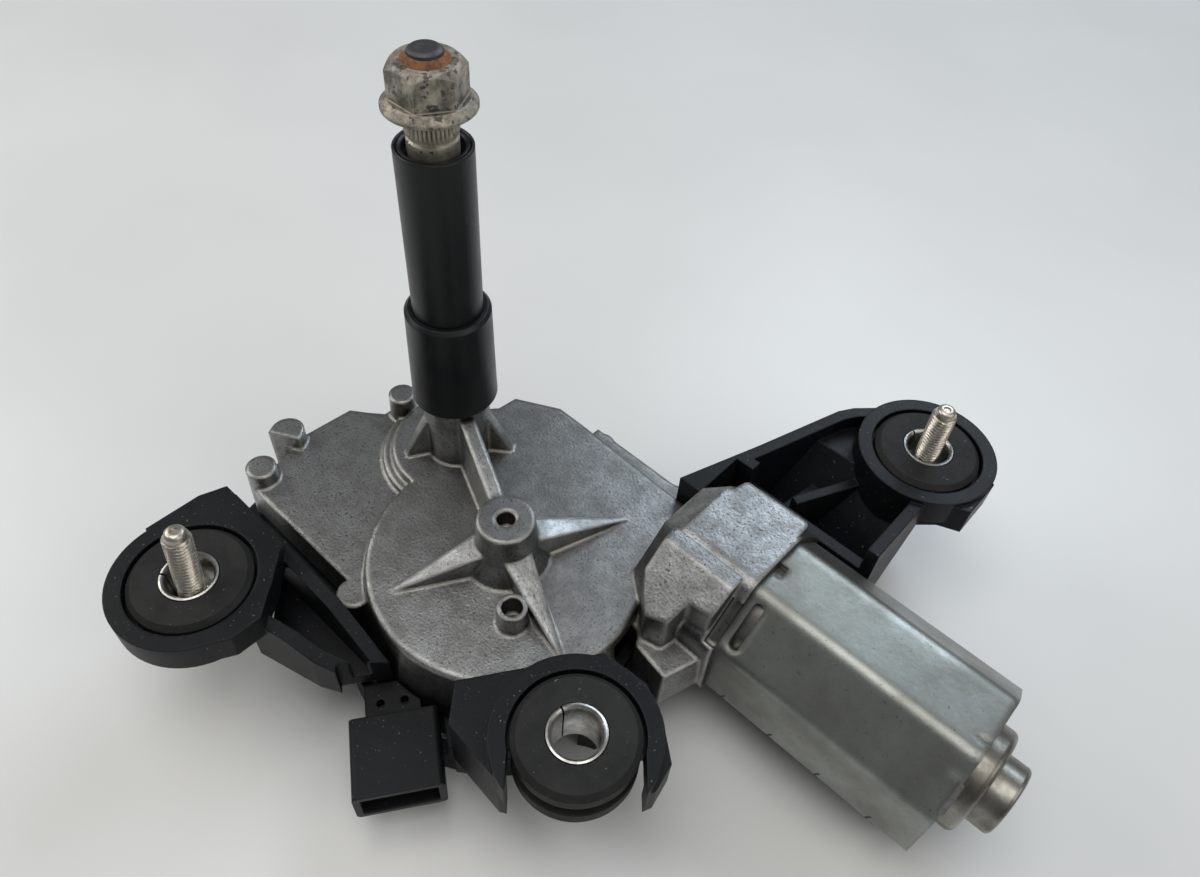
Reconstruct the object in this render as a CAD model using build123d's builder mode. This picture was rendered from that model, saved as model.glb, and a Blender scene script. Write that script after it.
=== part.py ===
from build123d import *
from math import acos, atan, cos, degrees, pi, radians, sin, sqrt, tan
import os

# Rear wiper motor: a die-cast gearbox with a spindle tower, a brush motor and a three-armed bracket.
# The spindle axis is Z, the motor's axis runs along +X, and the base plane is Z = 0.

# Gearbox housing and its cover
cover_clearance = 7.5
cover_floor = 2.2
cover_flange = 3.0
cover_step = 0.8
cover_wall = 1.8
low_plate_rise = 10.5
main_plate_rise = 14.5
strip_drop = 3.5
roof_thickness = 1.9
wall_thickness = 2.4
drum_wall = 2.74
drum_draft = 7.0
low_plate_front = -44.2
low_plate_left = -32.3
low_plate_back = -8.0
main_plate_back = 25.0
strip_width = 5.8
main_plate_end = 60.0
tower_pad_radius = 17.5
tower_ring_radius = 20.0
tower_ring_rise = 1.6
lug_radius = 4.2
screw_radius = 1.5
screw_head_radius = 3.2
screw_head_height = 2.4
screw_depth = 8.0

# Worm gear
gear_offset_x = 33.6
gear_offset_y = -15.2
wheel_module = 1.2
wheel_teeth = 50
wheel_face = 7.0
wheel_backlash = 0.36
wheel_web = 3.6
wheel_rim = 4.0
worm_pitch_radius = 4.0
worm_turns = 6
motor_height = 23.0
axle_radius = 4.0
axle_head_radius = 5.6
axle_head = 1.2
boss_radius = 6.6
boss_foot_radius = 10.0
boss_rise = 14.0
boss_rib_width = 8.0
boss_rib_height = 9.0
tie_width = 3.6
tie_rise = 5.0
gusset_width = 3.4
gusset_height = 23.8
gusset_reach = 9.5
boss_hole_radius = 2.15
boss_hole_depth = 5.0
port_radius = 3.7
port_bore = 2.4
port_rise = 6.0

# Linkage between the worm wheel and the spindle
crank_radius = 9.5
rod_length = 30.0
link_module = 1.0
pinion_teeth = 14
sector_teeth = 28
sector_cut_teeth = 7
link_backlash = 0.24
sector_thickness = 5.0
link_plate = 2.0
link_gap = 0.3
link_floor_gap = 2.6
crank_pin_radius = 3.5
crank_pin_drop = 2.0
open_pivot_gap = 0.4
rod_eye_wall = 2.6
rod_width = 7.0
rod_thickness = 3.2
rocker_pin_radius = 3.0
rocker_eye_wall = 3.0

# Spindle, tower and their sleeve
spindle_radius = 5.0
spindle_thread_radius = 4.0
knurl_radius = 5.2
knurl_length = 5.0
knurl_top = 122.4
spindle_top = 133.6
tower_radius = 8.0
tower_tube_radius = 6.9
tower_bore_radius = 5.4
bush_radius = 5.9
bush_length = 12.0
running_gap = 0.04
tower_shoulder = 52.0
tower_top = 110.0
seal_height = 3.0
sleeve_radius = 7.75
sleeve_top = 115.0
collar_top = 75.6
collar_bottom = 49.65
collar_top_radius = 9.58
collar_foot_radius = 10.12
fit_gap = 0.1
nut_flange_radius = 8.95
nut_across_flats = 13.0
nut_flange = 1.9
nut_height = 9.0
thread_end_radius = 3.8
clip_thickness = 0.8
clip_radius = 7.2

# Motor
ring_apothem = 19.8
ring_wall = 1.8
ring_corner = 4.0
ring_start = 83.5
ring_length = 53.5
can_wall = 1.4
can_step_radius = 12.6
can_step = 4.6
can_cap_radius = 8.2
can_cap = 5.6
hood_apothem = 21.2
hood_corner = 5.0
hood_start = 57.5
hood_slope = 5.5
hood_bore = 18.2
hood_bore_depth = 17.5
hood_ledge = 10.5
hood_lobe = 20.5
hood_notch_width = 2.6
magnet_thickness = 4.2
magnet_share = 0.636
magnet_angle = 130.0
air_gap = 0.6
core_share = 0.56
core_slots = 8
core_offset = 2.75
shaft_radius = 2.9
shaft_nose = 14.0
bearing_radius = 6.0
bearing_length = 7.0
commutator_radius = 7.0
commutator_length = 11.0
commutator_start = 72.0
brush_width = 5.0
brush_height = 4.0
brush_length = 6.5

# Bracket, grommets, bushes and studs
left_seat_x = -5.4
left_seat_y = -70.4
front_seat_x = 77.4
front_seat_y = -37.9
right_seat_x = 89.3
right_seat_y = 77.3
mount_rise = 9.0
grommet_radius = 13.0
grommet_flange = 4.0
grommet_neck_radius = 9.5
web_thickness = 4.0
seat_rim_radius = 17.3
seat_rim_inner = 13.8
seat_rim_height = 3.2
bush_outer_radius = 6.3
bush_bore_radius = 5.0
bush_proud = 0.3
bush_slit = 0.8
stud_radius = 3.0
stud_shank_radius = 2.7
stud_thread_start = 5.0
stud_sink = 3.0
stud_reach = 15.5
stud_head_radius = 7.0
stud_head = 4.0
left_lean = 6.0
right_lean = -5.0
bracket_wall = 3.0
bracket_plate = 3.0
bracket_skirt = 6.0
bracket_gap = 0.4
left_arm_drop = 5.0
arm_depth = 16.0
front_arm_root = 44.0
right_arm_low = 6.0
right_arm_drop = 2.0
right_arm_depth = 8.0
block_drop = 7.5
arm_rise_start = 48.0
slot_bearing = -47.0

# Connector
connector_x = 47.4
connector_y = -60.6
connector_width = 19.0
connector_length = 17.4
connector_height = 10.0
connector_top = 19.0
connector_wall = 1.5
connector_depth = 12.0
connector_angle = -35.0
connector_neck = 12.0
connector_neck_length = 9.3
pin_count = 4
pin_size = 0.9
pin_length = 5.0

# Values worked out from the sizes above
cover_depth = motor_height - cover_clearance
low_plate_z = cover_depth + low_plate_rise
main_plate_z = cover_depth + main_plate_rise
strip_z = main_plate_z - strip_drop
wheel_radius = wheel_module * wheel_teeth / 2
worm_y = gear_offset_y + wheel_radius + worm_pitch_radius
wheel_low = motor_height - wheel_face / 2
wheel_high = motor_height + wheel_face / 2
wheel_tip_radius = wheel_radius + 0.8 * wheel_module
drum_bore_radius = wheel_tip_radius + 0.6
drum_base_radius = drum_bore_radius + drum_wall
drum_ceiling = main_plate_z - roof_thickness
gear_distance = sqrt(gear_offset_x**2 + gear_offset_y**2)
gear_bearing = degrees(atan(gear_offset_y / gear_offset_x))
pinion_radius = link_module * pinion_teeth / 2
sector_radius = link_module * sector_teeth / 2
rocker_length = pinion_radius + sector_radius
near_reach = rod_length - crank_radius
far_reach = rod_length + crank_radius
link_low = cover_floor + link_floor_gap + link_plate + link_gap
link_high = link_low + sector_thickness
can_radius = ring_apothem - ring_wall - 0.1
ring_end = ring_start + ring_length
core_length = core_share * ring_length
core_centre = ring_start + ring_length / 2 + core_offset
magnet_length = magnet_share * ring_length
mount_plane = main_plate_z + mount_rise
left_arm_top = mount_plane - left_arm_drop
left_arm_low = left_arm_top - arm_depth
front_arm_low = left_arm_low
front_block_low = mount_plane - grommet_flange - web_thickness - 5
right_arm_top = mount_plane - right_arm_drop
right_arm_tip = right_arm_top - right_arm_depth
block_low = mount_plane - block_drop
web_top = mount_plane - grommet_flange
web_low = web_top - web_thickness
bush_foot = web_low - grommet_flange - bush_proud
seats = {
    "left": (left_seat_x, left_seat_y),
    "front": (front_seat_x, front_seat_y),
    "right": (right_seat_x, right_seat_y),
}


def triangle_angle(side_a, side_b, opposite):
    """Angle in degrees between side_a and side_b of a triangle."""
    return degrees(acos((side_a**2 + side_b**2 - opposite**2) / (2 * side_a * side_b)))


def polar(radius, angle, centre=(0, 0)):
    """Point at a distance and a bearing in degrees from a centre."""
    return (centre[0] + radius * cos(radians(angle)), centre[1] + radius * sin(radians(angle)))


# The four-bar linkage is drawn with the crank and the rod in line, at the parked end of the sweep
near_swing = triangle_angle(gear_distance, rocker_length, near_reach)
far_swing = triangle_angle(gear_distance, rocker_length, far_reach)
near_lean = triangle_angle(gear_distance, near_reach, rocker_length)
far_lean = triangle_angle(gear_distance, far_reach, rocker_length)
rocker_sweep = near_swing - far_swing
rod_sweep = far_lean - near_lean
spindle_sweep = rocker_sweep - sector_radius / pinion_radius * (rod_sweep - rocker_sweep)
rocker_bearing = gear_bearing - near_swing
rod_bearing = gear_bearing + near_lean
gear_centre = (gear_offset_x, gear_offset_y)
rocker_end = polar(rocker_length, rocker_bearing)
crank_end = polar(rod_length, rod_bearing, rocker_end)
print("sweep of rocker, rod and spindle:", rocker_sweep, rod_sweep, spindle_sweep)
print("rocker pin:", rocker_end, "crank pin:", crank_end, "worm line:", worm_y)


def involute(angle):
    return tan(radians(angle)) - radians(angle)


def gear_points(teeth, module, backlash, first_angle, count, centre):
    """Outline of a run of involute teeth, each symmetrical about its own bearing."""
    pitch = module * teeth / 2
    base = pitch * cos(radians(20))
    radii = [pitch - 1.05 * module, pitch - 0.45 * module, pitch, pitch + 0.8 * module]
    half_pitch = (pi * module / 2 - backlash) / 2 / pitch
    flank = []
    for radius in radii:
        pressure = degrees(acos(min(1, base / radius)))
        flank.append((radius, degrees(half_pitch + involute(20) - involute(pressure))))
    points = []
    for tooth in range(count):
        middle = first_angle + tooth * 360 / teeth
        points += [polar(radius, middle - half, centre) for radius, half in flank]
        points += [polar(radius, middle + half, centre) for radius, half in reversed(flank)]
    return points


def save(piece, name):
    """Label a finished piece and write it as its own file."""
    piece.part.label = name
    export_step(piece.part, f"parts/{name}.step")


def upright(centre):
    """Plane through a vertical axis, with its own Y along the world's Z."""
    return Plane((centre[0], centre[1], 0), x_dir=(1, 0, 0), z_dir=(0, -1, 0))


def motor_plane(x):
    """Plane across the motor's axis at a distance along X."""
    return Plane((x, worm_y, motor_height), x_dir=(0, 1, 0), z_dir=(1, 0, 0))


os.makedirs("parts", exist_ok=True)

# Gearbox housing: drum over the worm wheel, low plate over the linkage, flat plate beside the worm
low_outline = [
    (low_plate_left + 6, low_plate_front),
    (gear_offset_x - 20, low_plate_front),
    gear_centre,
    (4, 12),
    (-12, 8),
    (low_plate_left + 8.5, low_plate_back + 6.2),
    (low_plate_left + 8.5, low_plate_back + 2.3),
    (low_plate_left + 5.4, low_plate_back - 0.3),
    (low_plate_left + 1, low_plate_back - 3.5),
    (low_plate_left, low_plate_front + 18),
]
main_outline = [
    gear_centre,
    (main_plate_end, gear_offset_y + 15),
    (main_plate_end, main_plate_back),
    (18, main_plate_back + 1.5),
    (10, main_plate_back + 1.5),
    (-1, main_plate_back - 4.5),
    (-1.5, 15),
    (-9, 6),
    (0, -10),
]
hood_side = worm_y - hood_apothem
foot_outline = [
    (hood_start + 2, hood_side + 6),
    (hood_start + 4, hood_side - 2),
    (hood_start + 12, hood_side - 8.2),
    (hood_start + 17.7, hood_side - 9.2),
    (hood_start + 21.8, hood_side - 9.9),
    (ring_start - 0.8, hood_side + 0.8),
    (ring_start - 1.5, hood_side + 6),
]
lobe_outline = [
    (hood_start + 4, hood_side + 12.4),
    (hood_start + 5, hood_side + 1.4),
    (hood_start + 8.5, hood_side - 2.6),
    (hood_start + 11.5, hood_side - 5.3),
    (hood_start + 16.3, hood_side - 4),
    (hood_start + 17.3, hood_side + 1.5),
    (hood_start + 23.2, hood_side + 1.9),
    (hood_start + 23.2, hood_side + 12.4),
]
hood_top = motor_height + hood_apothem
facet_profile = [
    (hood_side - 15.3, cover_depth + hood_lobe - 6),
    (hood_side - 5.3, cover_depth + hood_lobe),
    (hood_side + 8.4, hood_top),
    (hood_side + 8.4, hood_top + 5),
    (hood_side - 15.3, hood_top + 5),
]
with BuildPart() as hood_lobes:
    with BuildSketch(Plane.XY.offset(cover_depth)) as lobe_face:
        Polygon(*lobe_outline, align=None)
        fillet(lobe_face.vertices(), 1)
    extrude(amount=hood_top - cover_depth)
    with BuildSketch(Plane.YZ.offset(hood_start)) as facet_face:
        Polygon(*facet_profile, align=None)
    extrude(amount=ring_start - hood_start, mode=Mode.SUBTRACT)
hood_far_outline = [
    (hood_start + 5.5, worm_y + 1.9),
    (hood_start + 7.7, worm_y + 13),
    (ring_start - 0.8, worm_y + 13.2),
    (ring_start - 0.8, worm_y),
]
screw_spots = [
    (low_plate_left + 4.6, low_plate_front + 3.9),
    (gear_offset_x - 19, low_plate_front - 1),
    (gear_offset_x + 19.5, gear_offset_y - 29.5),
    (24, main_plate_back + 2.5),
    (48, main_plate_back + 2.5),
]
screw_tops = [main_plate_z, low_plate_z, low_plate_z - 6, strip_z, strip_z]
blind_boss = (low_plate_left + 11.5, low_plate_back + 6.5)
half_lug = (low_plate_left - 1, low_plate_back - 20.8)
rib_bearings = [-114, 64.6, -20]
rib_reaches = [26.9, 30.3, 28.9]
gusset_bearings = [36, 155, 243]
worm_bearing = 90
port_centre = polar(17.6, -39.5, gear_centre)
hood_plane = motor_plane(hood_start + hood_slope)
near_facet = Plane(
    (ring_start, worm_y, motor_height),
    x_dir=(1, 0, 0),
    z_dir=(0, -sin(radians(45)), cos(radians(45))),
)
hood_facet = near_facet.offset(hood_apothem - 2.2)
with BuildPart() as gear_housing:
    with BuildSketch(Plane.XY.offset(cover_depth)) as drum_foot:
        with Locations(gear_centre):
            Circle(drum_base_radius)
    extrude(amount=main_plate_rise, taper=drum_draft)
    fillet(gear_housing.edges().group_by(Axis.Z)[-1], 1.2)
    with BuildSketch(Plane.XY.offset(cover_depth)) as low_foot:
        Polygon(*low_outline, align=None)
        Circle(tower_radius + 5)
    extrude(amount=low_plate_rise)
    with BuildSketch(Plane.XY.offset(cover_depth)) as main_foot:
        Polygon(*main_outline, align=None)
    extrude(amount=main_plate_rise)
    with BuildSketch(Plane.XY.offset(cover_depth)) as strip_foot:
        with Locations((20, main_plate_back - 1)):
            Rectangle(main_plate_end - 20, strip_width + 1, align=(Align.MIN, Align.MIN))
    extrude(amount=strip_z - cover_depth)
    with BuildSketch(Plane.XY.offset(low_plate_z)) as ring_foot:
        Circle(tower_ring_radius)
        Polygon((-40, -3), (-9, 3), (40, 60), (-40, 60), align=None, mode=Mode.SUBTRACT)
    extrude(amount=tower_ring_rise, taper=20)
    with BuildSketch(Plane.XY.offset(low_plate_z)) as pad_foot:
        Circle(tower_pad_radius)
        Polygon((-40, -3), (-9, 3), (40, 60), (-40, 60), align=None, mode=Mode.SUBTRACT)
    extrude(amount=main_plate_z - low_plate_z, taper=8)
    for spot, top in zip(screw_spots, screw_tops):
        with BuildSketch(Plane.XY.offset(cover_depth)) as lug_foot:
            with Locations(spot):
                Circle(lug_radius)
        extrude(amount=top - cover_depth, taper=2)
    with BuildSketch(Plane.XY.offset(cover_depth)) as half_lug_foot:
        with Locations(Location(half_lug, 30)):
            Circle(lug_radius)
            Rectangle(2 * lug_radius, lug_radius, align=(Align.CENTER, Align.MAX), mode=Mode.SUBTRACT)
            Rectangle(2 * lug_radius, 2, align=(Align.CENTER, Align.MAX))
    extrude(amount=main_plate_rise)
    # Motor hood, eight-sided like the motor, with a sloping end towards the gearbox
    with BuildSketch(hood_plane) as hood_face:
        RegularPolygon(hood_apothem, 8, major_radius=False, rotation=22.5)
        fillet(hood_face.vertices(), hood_corner)
    extrude(amount=ring_start - hood_start - hood_slope)
    back_plane = Plane(hood_plane.origin, x_dir=(0, 1, 0), z_dir=(-1, 0, 0))
    with BuildSketch(back_plane) as hood_end:
        RegularPolygon(hood_apothem, 8, major_radius=False, rotation=22.5)
        fillet(hood_end.vertices(), hood_corner)
    extrude(amount=hood_slope, taper=38)
    with BuildSketch(Plane.XY.offset(cover_depth)) as foot_face:
        Polygon(*foot_outline, align=None)
    extrude(amount=hood_ledge, taper=4)
    add(hood_lobes.part)
    with BuildSketch(Plane.XY.offset(motor_height + hood_apothem)) as hood_far_face:
        Polygon(*hood_far_outline, align=None)
        fillet(hood_far_face.vertices().group_by(Axis.Y)[-2:], 1.5)
    extrude(amount=-hood_apothem, taper=-2)
    with BuildSketch(hood_facet) as hood_notch:
        with Locations((0, -2)):
            Rectangle(hood_notch_width, 12, align=(Align.MAX, Align.CENTER))
    extrude(amount=10, mode=Mode.SUBTRACT)
    with BuildSketch(Plane.XY.offset(cover_depth)) as foot_scallop:
        with Locations((hood_start + 7.5, hood_side - 8)):
            Circle(4)
    extrude(amount=hood_ledge + 1, mode=Mode.SUBTRACT)
    # Central boss over the wheel's axle, its three ribs and the small hollow boss beside it
    with BuildSketch(upright(gear_centre)) as boss_half:
        Polygon(
            (0, main_plate_z - 1),
            (boss_foot_radius, main_plate_z - 1),
            (boss_foot_radius, main_plate_z),
            (boss_radius + 0.8, main_plate_z + 5),
            (boss_radius, main_plate_z + boss_rise),
            (0, main_plate_z + boss_rise),
            align=None,
        )
    revolve(axis=Axis((gear_offset_x, gear_offset_y, 0), (0, 0, 1)))
    for bearing, reach in zip(rib_bearings, rib_reaches):
        root = Plane((*polar(2, bearing, gear_centre), main_plate_z), x_dir=polar(1, bearing + 90),
                     z_dir=polar(1, bearing))
        with BuildSketch(root) as rib_root:
            with Locations((0, 4)):
                Rectangle(boss_rib_width, boss_rib_height)
        with BuildSketch(root.offset(reach - 2)) as rib_end:
            Rectangle(boss_rib_width / 8, 0.6)
        loft()
    with BuildSketch(Plane.XY.offset(low_plate_z - 1)) as blind_boss_foot:
        with Locations(blind_boss):
            Circle(port_radius)
    extrude(amount=main_plate_z - low_plate_z + 4, taper=2)
    with BuildSketch(Plane.XY.offset(main_plate_z - 1)) as port_foot:
        with Locations(port_centre):
            Circle(port_radius)
    extrude(amount=port_rise + 1, taper=3)
    # Spindle tower with its ribs and the long rib that ties it to the boss
    with BuildSketch(Plane.XY.offset(low_plate_z - 1)) as tower_foot:
        Circle(tower_radius)
    extrude(amount=tower_shoulder - low_plate_z + 1)
    with BuildSketch(Plane.XY.offset(tower_shoulder)) as tower_tube:
        Circle(tower_tube_radius)
    extrude(amount=tower_top - tower_shoulder)
    for bearing in gusset_bearings:
        root = Plane((*polar(4, bearing), low_plate_z), x_dir=polar(1, bearing + 90), z_dir=polar(1, bearing))
        with BuildSketch(root) as gusset_root:
            with Locations((0, gusset_height / 2 - 0.9)):
                Rectangle(gusset_width, gusset_height)
        with BuildSketch(root.offset(gusset_reach)) as gusset_end:
            with Locations((0, 2)):
                Rectangle(gusset_width - 1, 6)
        loft()
    tie = Plane((0, 0, main_plate_z - 1), x_dir=polar(1, gear_bearing), z_dir=polar(1, gear_bearing - 90))
    with BuildSketch(tie) as tie_side:
        Polygon(
            (4, 0),
            (gear_distance - 3, 0),
            (gear_distance - 3, boss_rise),
            (8, boss_rise + tie_rise),
            (4, boss_rise + tie_rise),
            align=None,
        )
    extrude(amount=tie_width / 2, both=True)
    # Hollows: wheel chamber, linkage chamber, worm tunnel, motor seat and the bores
    with BuildSketch(Plane.XY.offset(cover_depth - 3)) as drum_bore:
        with Locations(gear_centre):
            Circle(drum_bore_radius)
    extrude(amount=drum_ceiling - cover_depth + 3, mode=Mode.SUBTRACT)
    with BuildSketch(Plane.XY.offset(cover_depth)) as low_bore:
        Polygon(*low_outline, align=None)
        Circle(tower_radius + 5)
        offset(amount=-wall_thickness, kind=Kind.INTERSECTION)
    extrude(amount=low_plate_rise - roof_thickness, mode=Mode.SUBTRACT)
    with BuildSketch(Plane.XY.offset(cover_depth)) as spindle_relief:
        Circle(tower_bore_radius + 1.2)
    extrude(amount=drum_ceiling + 0.4 - cover_depth, mode=Mode.SUBTRACT)
    with BuildSketch(Plane.XY) as spindle_bore:
        Circle(tower_bore_radius)
    extrude(amount=tower_top, mode=Mode.SUBTRACT)
    with BuildSketch(Plane.XY.offset(drum_ceiling)) as lower_bush_seat:
        Circle(bush_radius)
    extrude(amount=bush_length + 0.4, mode=Mode.SUBTRACT)
    with BuildSketch(Plane.XY.offset(tower_top - bush_length)) as upper_bush_seat:
        Circle(bush_radius)
    extrude(amount=bush_length, mode=Mode.SUBTRACT)
    with BuildSketch(Plane.XY.offset(drum_ceiling)) as axle_bore:
        with Locations(gear_centre):
            Circle(axle_radius)
    extrude(amount=boss_rise - boss_hole_depth, mode=Mode.SUBTRACT)
    with BuildSketch(Plane.XY.offset(main_plate_z + boss_rise)) as boss_hole:
        with Locations(gear_centre):
            Circle(boss_hole_radius)
    extrude(amount=-boss_hole_depth, mode=Mode.SUBTRACT)
    with BuildSketch(Plane.XY.offset(main_plate_z + port_rise)) as port_hole:
        with Locations(port_centre):
            Circle(port_bore)
    extrude(amount=-port_rise, mode=Mode.SUBTRACT)
    with BuildSketch(motor_plane(shaft_nose - 6)) as tunnel:
        Circle(bearing_radius)
    extrude(amount=ring_start - hood_bore_depth - shaft_nose + 6, mode=Mode.SUBTRACT)
    with BuildSketch(motor_plane(ring_start - hood_bore_depth)) as motor_seat:
        Circle(hood_bore)
    extrude(amount=hood_bore_depth, mode=Mode.SUBTRACT)
    with BuildSketch(Plane.XY.offset(cover_depth)) as screw_bosses:
        with Locations(*screw_spots):
            Circle(lug_radius - 0.8)
    extrude(amount=screw_depth - 3.6)
    with BuildSketch(Plane.XY.offset(cover_depth)) as pilot_holes:
        with Locations(*screw_spots):
            Circle(screw_radius)
    extrude(amount=screw_depth - 4, mode=Mode.SUBTRACT)
save(gear_housing, "gear_housing")

# Cover: a black moulded tray that closes the gearbox from below, with a flange for the screws
with BuildSketch() as low_tray:
    Polygon(*low_outline, align=None)
    offset(amount=-cover_step, kind=Kind.INTERSECTION)
with BuildSketch() as low_tray_hollow:
    Polygon(*low_outline, align=None)
    offset(amount=-cover_step - cover_wall, kind=Kind.INTERSECTION)
with BuildPart() as gear_cover:
    with BuildSketch(Plane.XY.offset(cover_depth - cover_flange)) as flange_face:
        with Locations(gear_centre):
            Circle(drum_base_radius)
        Polygon(*low_outline, align=None)
        Polygon(*main_outline, align=None)
        with Locations((20, main_plate_back - 1)):
            Rectangle(main_plate_end - 20, strip_width + 1, align=(Align.MIN, Align.MIN))
        with Locations(*screw_spots):
            Circle(lug_radius)
        with Locations((hood_start - 0.5, worm_y - hood_apothem - 1)):
            Rectangle(60, 60, align=(Align.MIN, Align.MIN), mode=Mode.SUBTRACT)
    extrude(amount=cover_flange)
    with BuildSketch() as tray_face:
        add(low_tray.sketch)
        with Locations(gear_centre):
            Circle(drum_base_radius - cover_step)
        with Locations(*screw_spots):
            Circle(screw_head_radius + fit_gap * 5, mode=Mode.SUBTRACT)
        with Locations((hood_start - 0.5, worm_y - hood_apothem - 1)):
            Rectangle(60, 60, align=(Align.MIN, Align.MIN), mode=Mode.SUBTRACT)
    extrude(amount=cover_depth - cover_flange)
    with BuildSketch(Plane.XY.offset(cover_floor)) as tray_hollow:
        add(low_tray_hollow.sketch)
        with Locations(gear_centre):
            Circle(drum_base_radius - cover_step - cover_wall)
        with Locations(*screw_spots):
            Circle(screw_head_radius + cover_wall + fit_gap * 5, mode=Mode.SUBTRACT)
        with Locations((hood_start - 0.5 - cover_wall, worm_y - hood_apothem - 1 - cover_wall)):
            Rectangle(60, 60, align=(Align.MIN, Align.MIN), mode=Mode.SUBTRACT)
    extrude(amount=cover_depth, mode=Mode.SUBTRACT)
    with BuildSketch(Plane.XY.offset(cover_depth - cover_flange)) as screw_holes:
        with Locations(*screw_spots):
            Circle(screw_radius + 0.2)
    extrude(amount=cover_flange, mode=Mode.SUBTRACT)
save(gear_cover, "gear_cover")

# Screws that clamp bracket, cover and housing together from below
plate_low = cover_depth - cover_flange - bracket_plate
with BuildPart() as cover_screws:
    with BuildSketch(Plane.XY.offset(plate_low)) as head_face:
        with Locations(*screw_spots):
            Circle(screw_head_radius)
    extrude(amount=-screw_head_height)
    with BuildSketch(Plane.XY.offset(plate_low)) as shank_face:
        with Locations(*screw_spots):
            Circle(screw_radius)
    extrude(amount=cover_depth + screw_depth - 4.4 - plate_low)
save(cover_screws, "cover_screws")

# Bracket: a black moulding with a frame round the cover and three arms that carry the rubber grommets
bracket_outline = [
    (low_plate_left - bracket_skirt, low_plate_back - 3),
    (low_plate_left - bracket_skirt, low_plate_front + 18),
    (low_plate_left + 1, low_plate_front - bracket_skirt),
    (gear_offset_x, low_plate_front - bracket_skirt),
    (gear_offset_x + 16, gear_offset_y - 20),
    (hood_start - 0.9, gear_offset_y + 18),
    (hood_start - 0.9, main_plate_back + strip_width + bracket_skirt),
    (16, main_plate_back + strip_width + bracket_skirt),
    (-6, main_plate_back),
    (-8, 18),
    (-22, 6),
]
left_arm = [
    (left_seat_x - 16, low_plate_front - bracket_skirt),
    (gear_offset_x + 1, low_plate_front - bracket_skirt),
    (gear_offset_x - 0.5, left_seat_y + 12.5),
    (gear_offset_x - 9.5, left_seat_y + 7.8),
    (left_seat_x + 12, left_seat_y + 3),
    (left_seat_x, left_seat_y - 2),
]
left_block = [
    (left_seat_x - 18, left_seat_y),
    (left_seat_x - 18, left_seat_y + 13),
    (left_seat_x - 16, left_seat_y + 19),
    (left_seat_x + 5.6, left_seat_y + 19),
    (left_seat_x + 10.7, left_seat_y + 13.7),
    (left_seat_x + 18.5, left_seat_y + 5),
    (left_seat_x + 18.5, left_seat_y - 2),
    (left_seat_x + 14.5, left_seat_y - 9.2),
]
front_arm = [
    (front_seat_x - 26.5, front_seat_y - 8),
    (front_seat_x - 20.5, front_seat_y - 15),
    (front_seat_x - 5.5, front_seat_y - 16),
    (front_seat_x + 14, front_seat_y - 5),
    (front_seat_x + 17.6, front_seat_y + 3.6),
    (front_seat_x + 16.4, front_seat_y + 9.7),
    (front_seat_x + 10.4, front_seat_y + 14.5),
    (front_seat_x + 2.1, front_seat_y + 18.9),
    (front_seat_x - 9, front_seat_y + 18),
]
right_arm = [
    (hood_start - 7, main_plate_back + 1.4),
    (hood_start - 0.9, main_plate_back + 1.4),
    (hood_start - 0.9, worm_y + hood_apothem + 1.2),
    (right_seat_x + 8.3, worm_y + hood_apothem + 1.2),
    (right_seat_x + 8.3, right_seat_y - 13),
    (right_seat_x + 17.5, right_seat_y - 9),
    (right_seat_x + 17.5, right_seat_y + 3),
    (right_seat_x, right_seat_y + 17),
    (right_seat_x - 6.6, right_seat_y + 15.7),
    (right_seat_x - 21.4, right_seat_y),
    (right_seat_x - 23.7, right_seat_y - 3.9),
    (hood_start + 0.5, right_seat_y - 28.5),
]
with BuildSketch() as right_pocket:
    Polygon(*right_arm, align=None)
    offset(amount=-bracket_wall, kind=Kind.INTERSECTION)
with BuildSketch() as left_pocket:
    Polygon(*left_arm, align=None)
    offset(amount=-bracket_wall, kind=Kind.INTERSECTION)
with BuildSketch() as front_pocket:
    Polygon(*front_arm, align=None)
    offset(amount=-bracket_wall, kind=Kind.INTERSECTION)
left_arm_profile = [
    (left_seat_x + 13.4, left_arm_top),
    (left_seat_x + 23.4, left_arm_top - 1),
    (gear_offset_x + 2, left_arm_top - 10),
    (gear_offset_x + 12, left_arm_top - 10),
    (gear_offset_x + 12, left_arm_top + 1),
    (left_seat_x + 13.4, left_arm_top + 1),
]
right_arm_profile = [
    (arm_rise_start, 0),
    (arm_rise_start, right_arm_low),
    (arm_rise_start + 18, right_arm_tip),
    (right_seat_y + 30, right_arm_tip),
    (right_seat_y + 30, 0),
]
pocket_step_outline = [
    (right_seat_x - 21, right_seat_y - 34),
    (right_seat_x - 17.5, right_seat_y - 12),
    (right_seat_x - 14, right_seat_y - 9),
    (right_seat_x - 9, right_seat_y - 15),
    (right_seat_x - 17, right_seat_y - 34),
]
right_floor_profile = [
    (0, 0),
    (0, right_arm_low + bracket_plate),
    (arm_rise_start - 1, right_arm_low + bracket_plate),
    (arm_rise_start + 17, right_arm_tip + bracket_plate + 0.6),
    (right_seat_y + 30, right_arm_tip + bracket_plate + 0.6),
    (right_seat_y + 30, 0),
]
with BuildPart() as right_hollow:
    with BuildSketch(Plane.XY) as right_hollow_face:
        add(right_pocket.sketch)
        with Locations((right_seat_x, right_seat_y)):
            Circle(seat_rim_radius, mode=Mode.SUBTRACT)
    extrude(amount=mount_plane + 5)
    with BuildSketch(Plane.YZ) as right_floor_face:
        Polygon(*right_floor_profile, align=None)
    extrude(amount=right_seat_x + 40, mode=Mode.SUBTRACT)
with BuildSketch() as frame_inner:
    Polygon(*bracket_outline, align=None)
    offset(amount=-bracket_wall, kind=Kind.INTERSECTION)
with BuildSketch() as low_tray_room:
    Polygon(*low_outline, align=None)
    offset(amount=bracket_gap - cover_step, kind=Kind.INTERSECTION)
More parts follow.
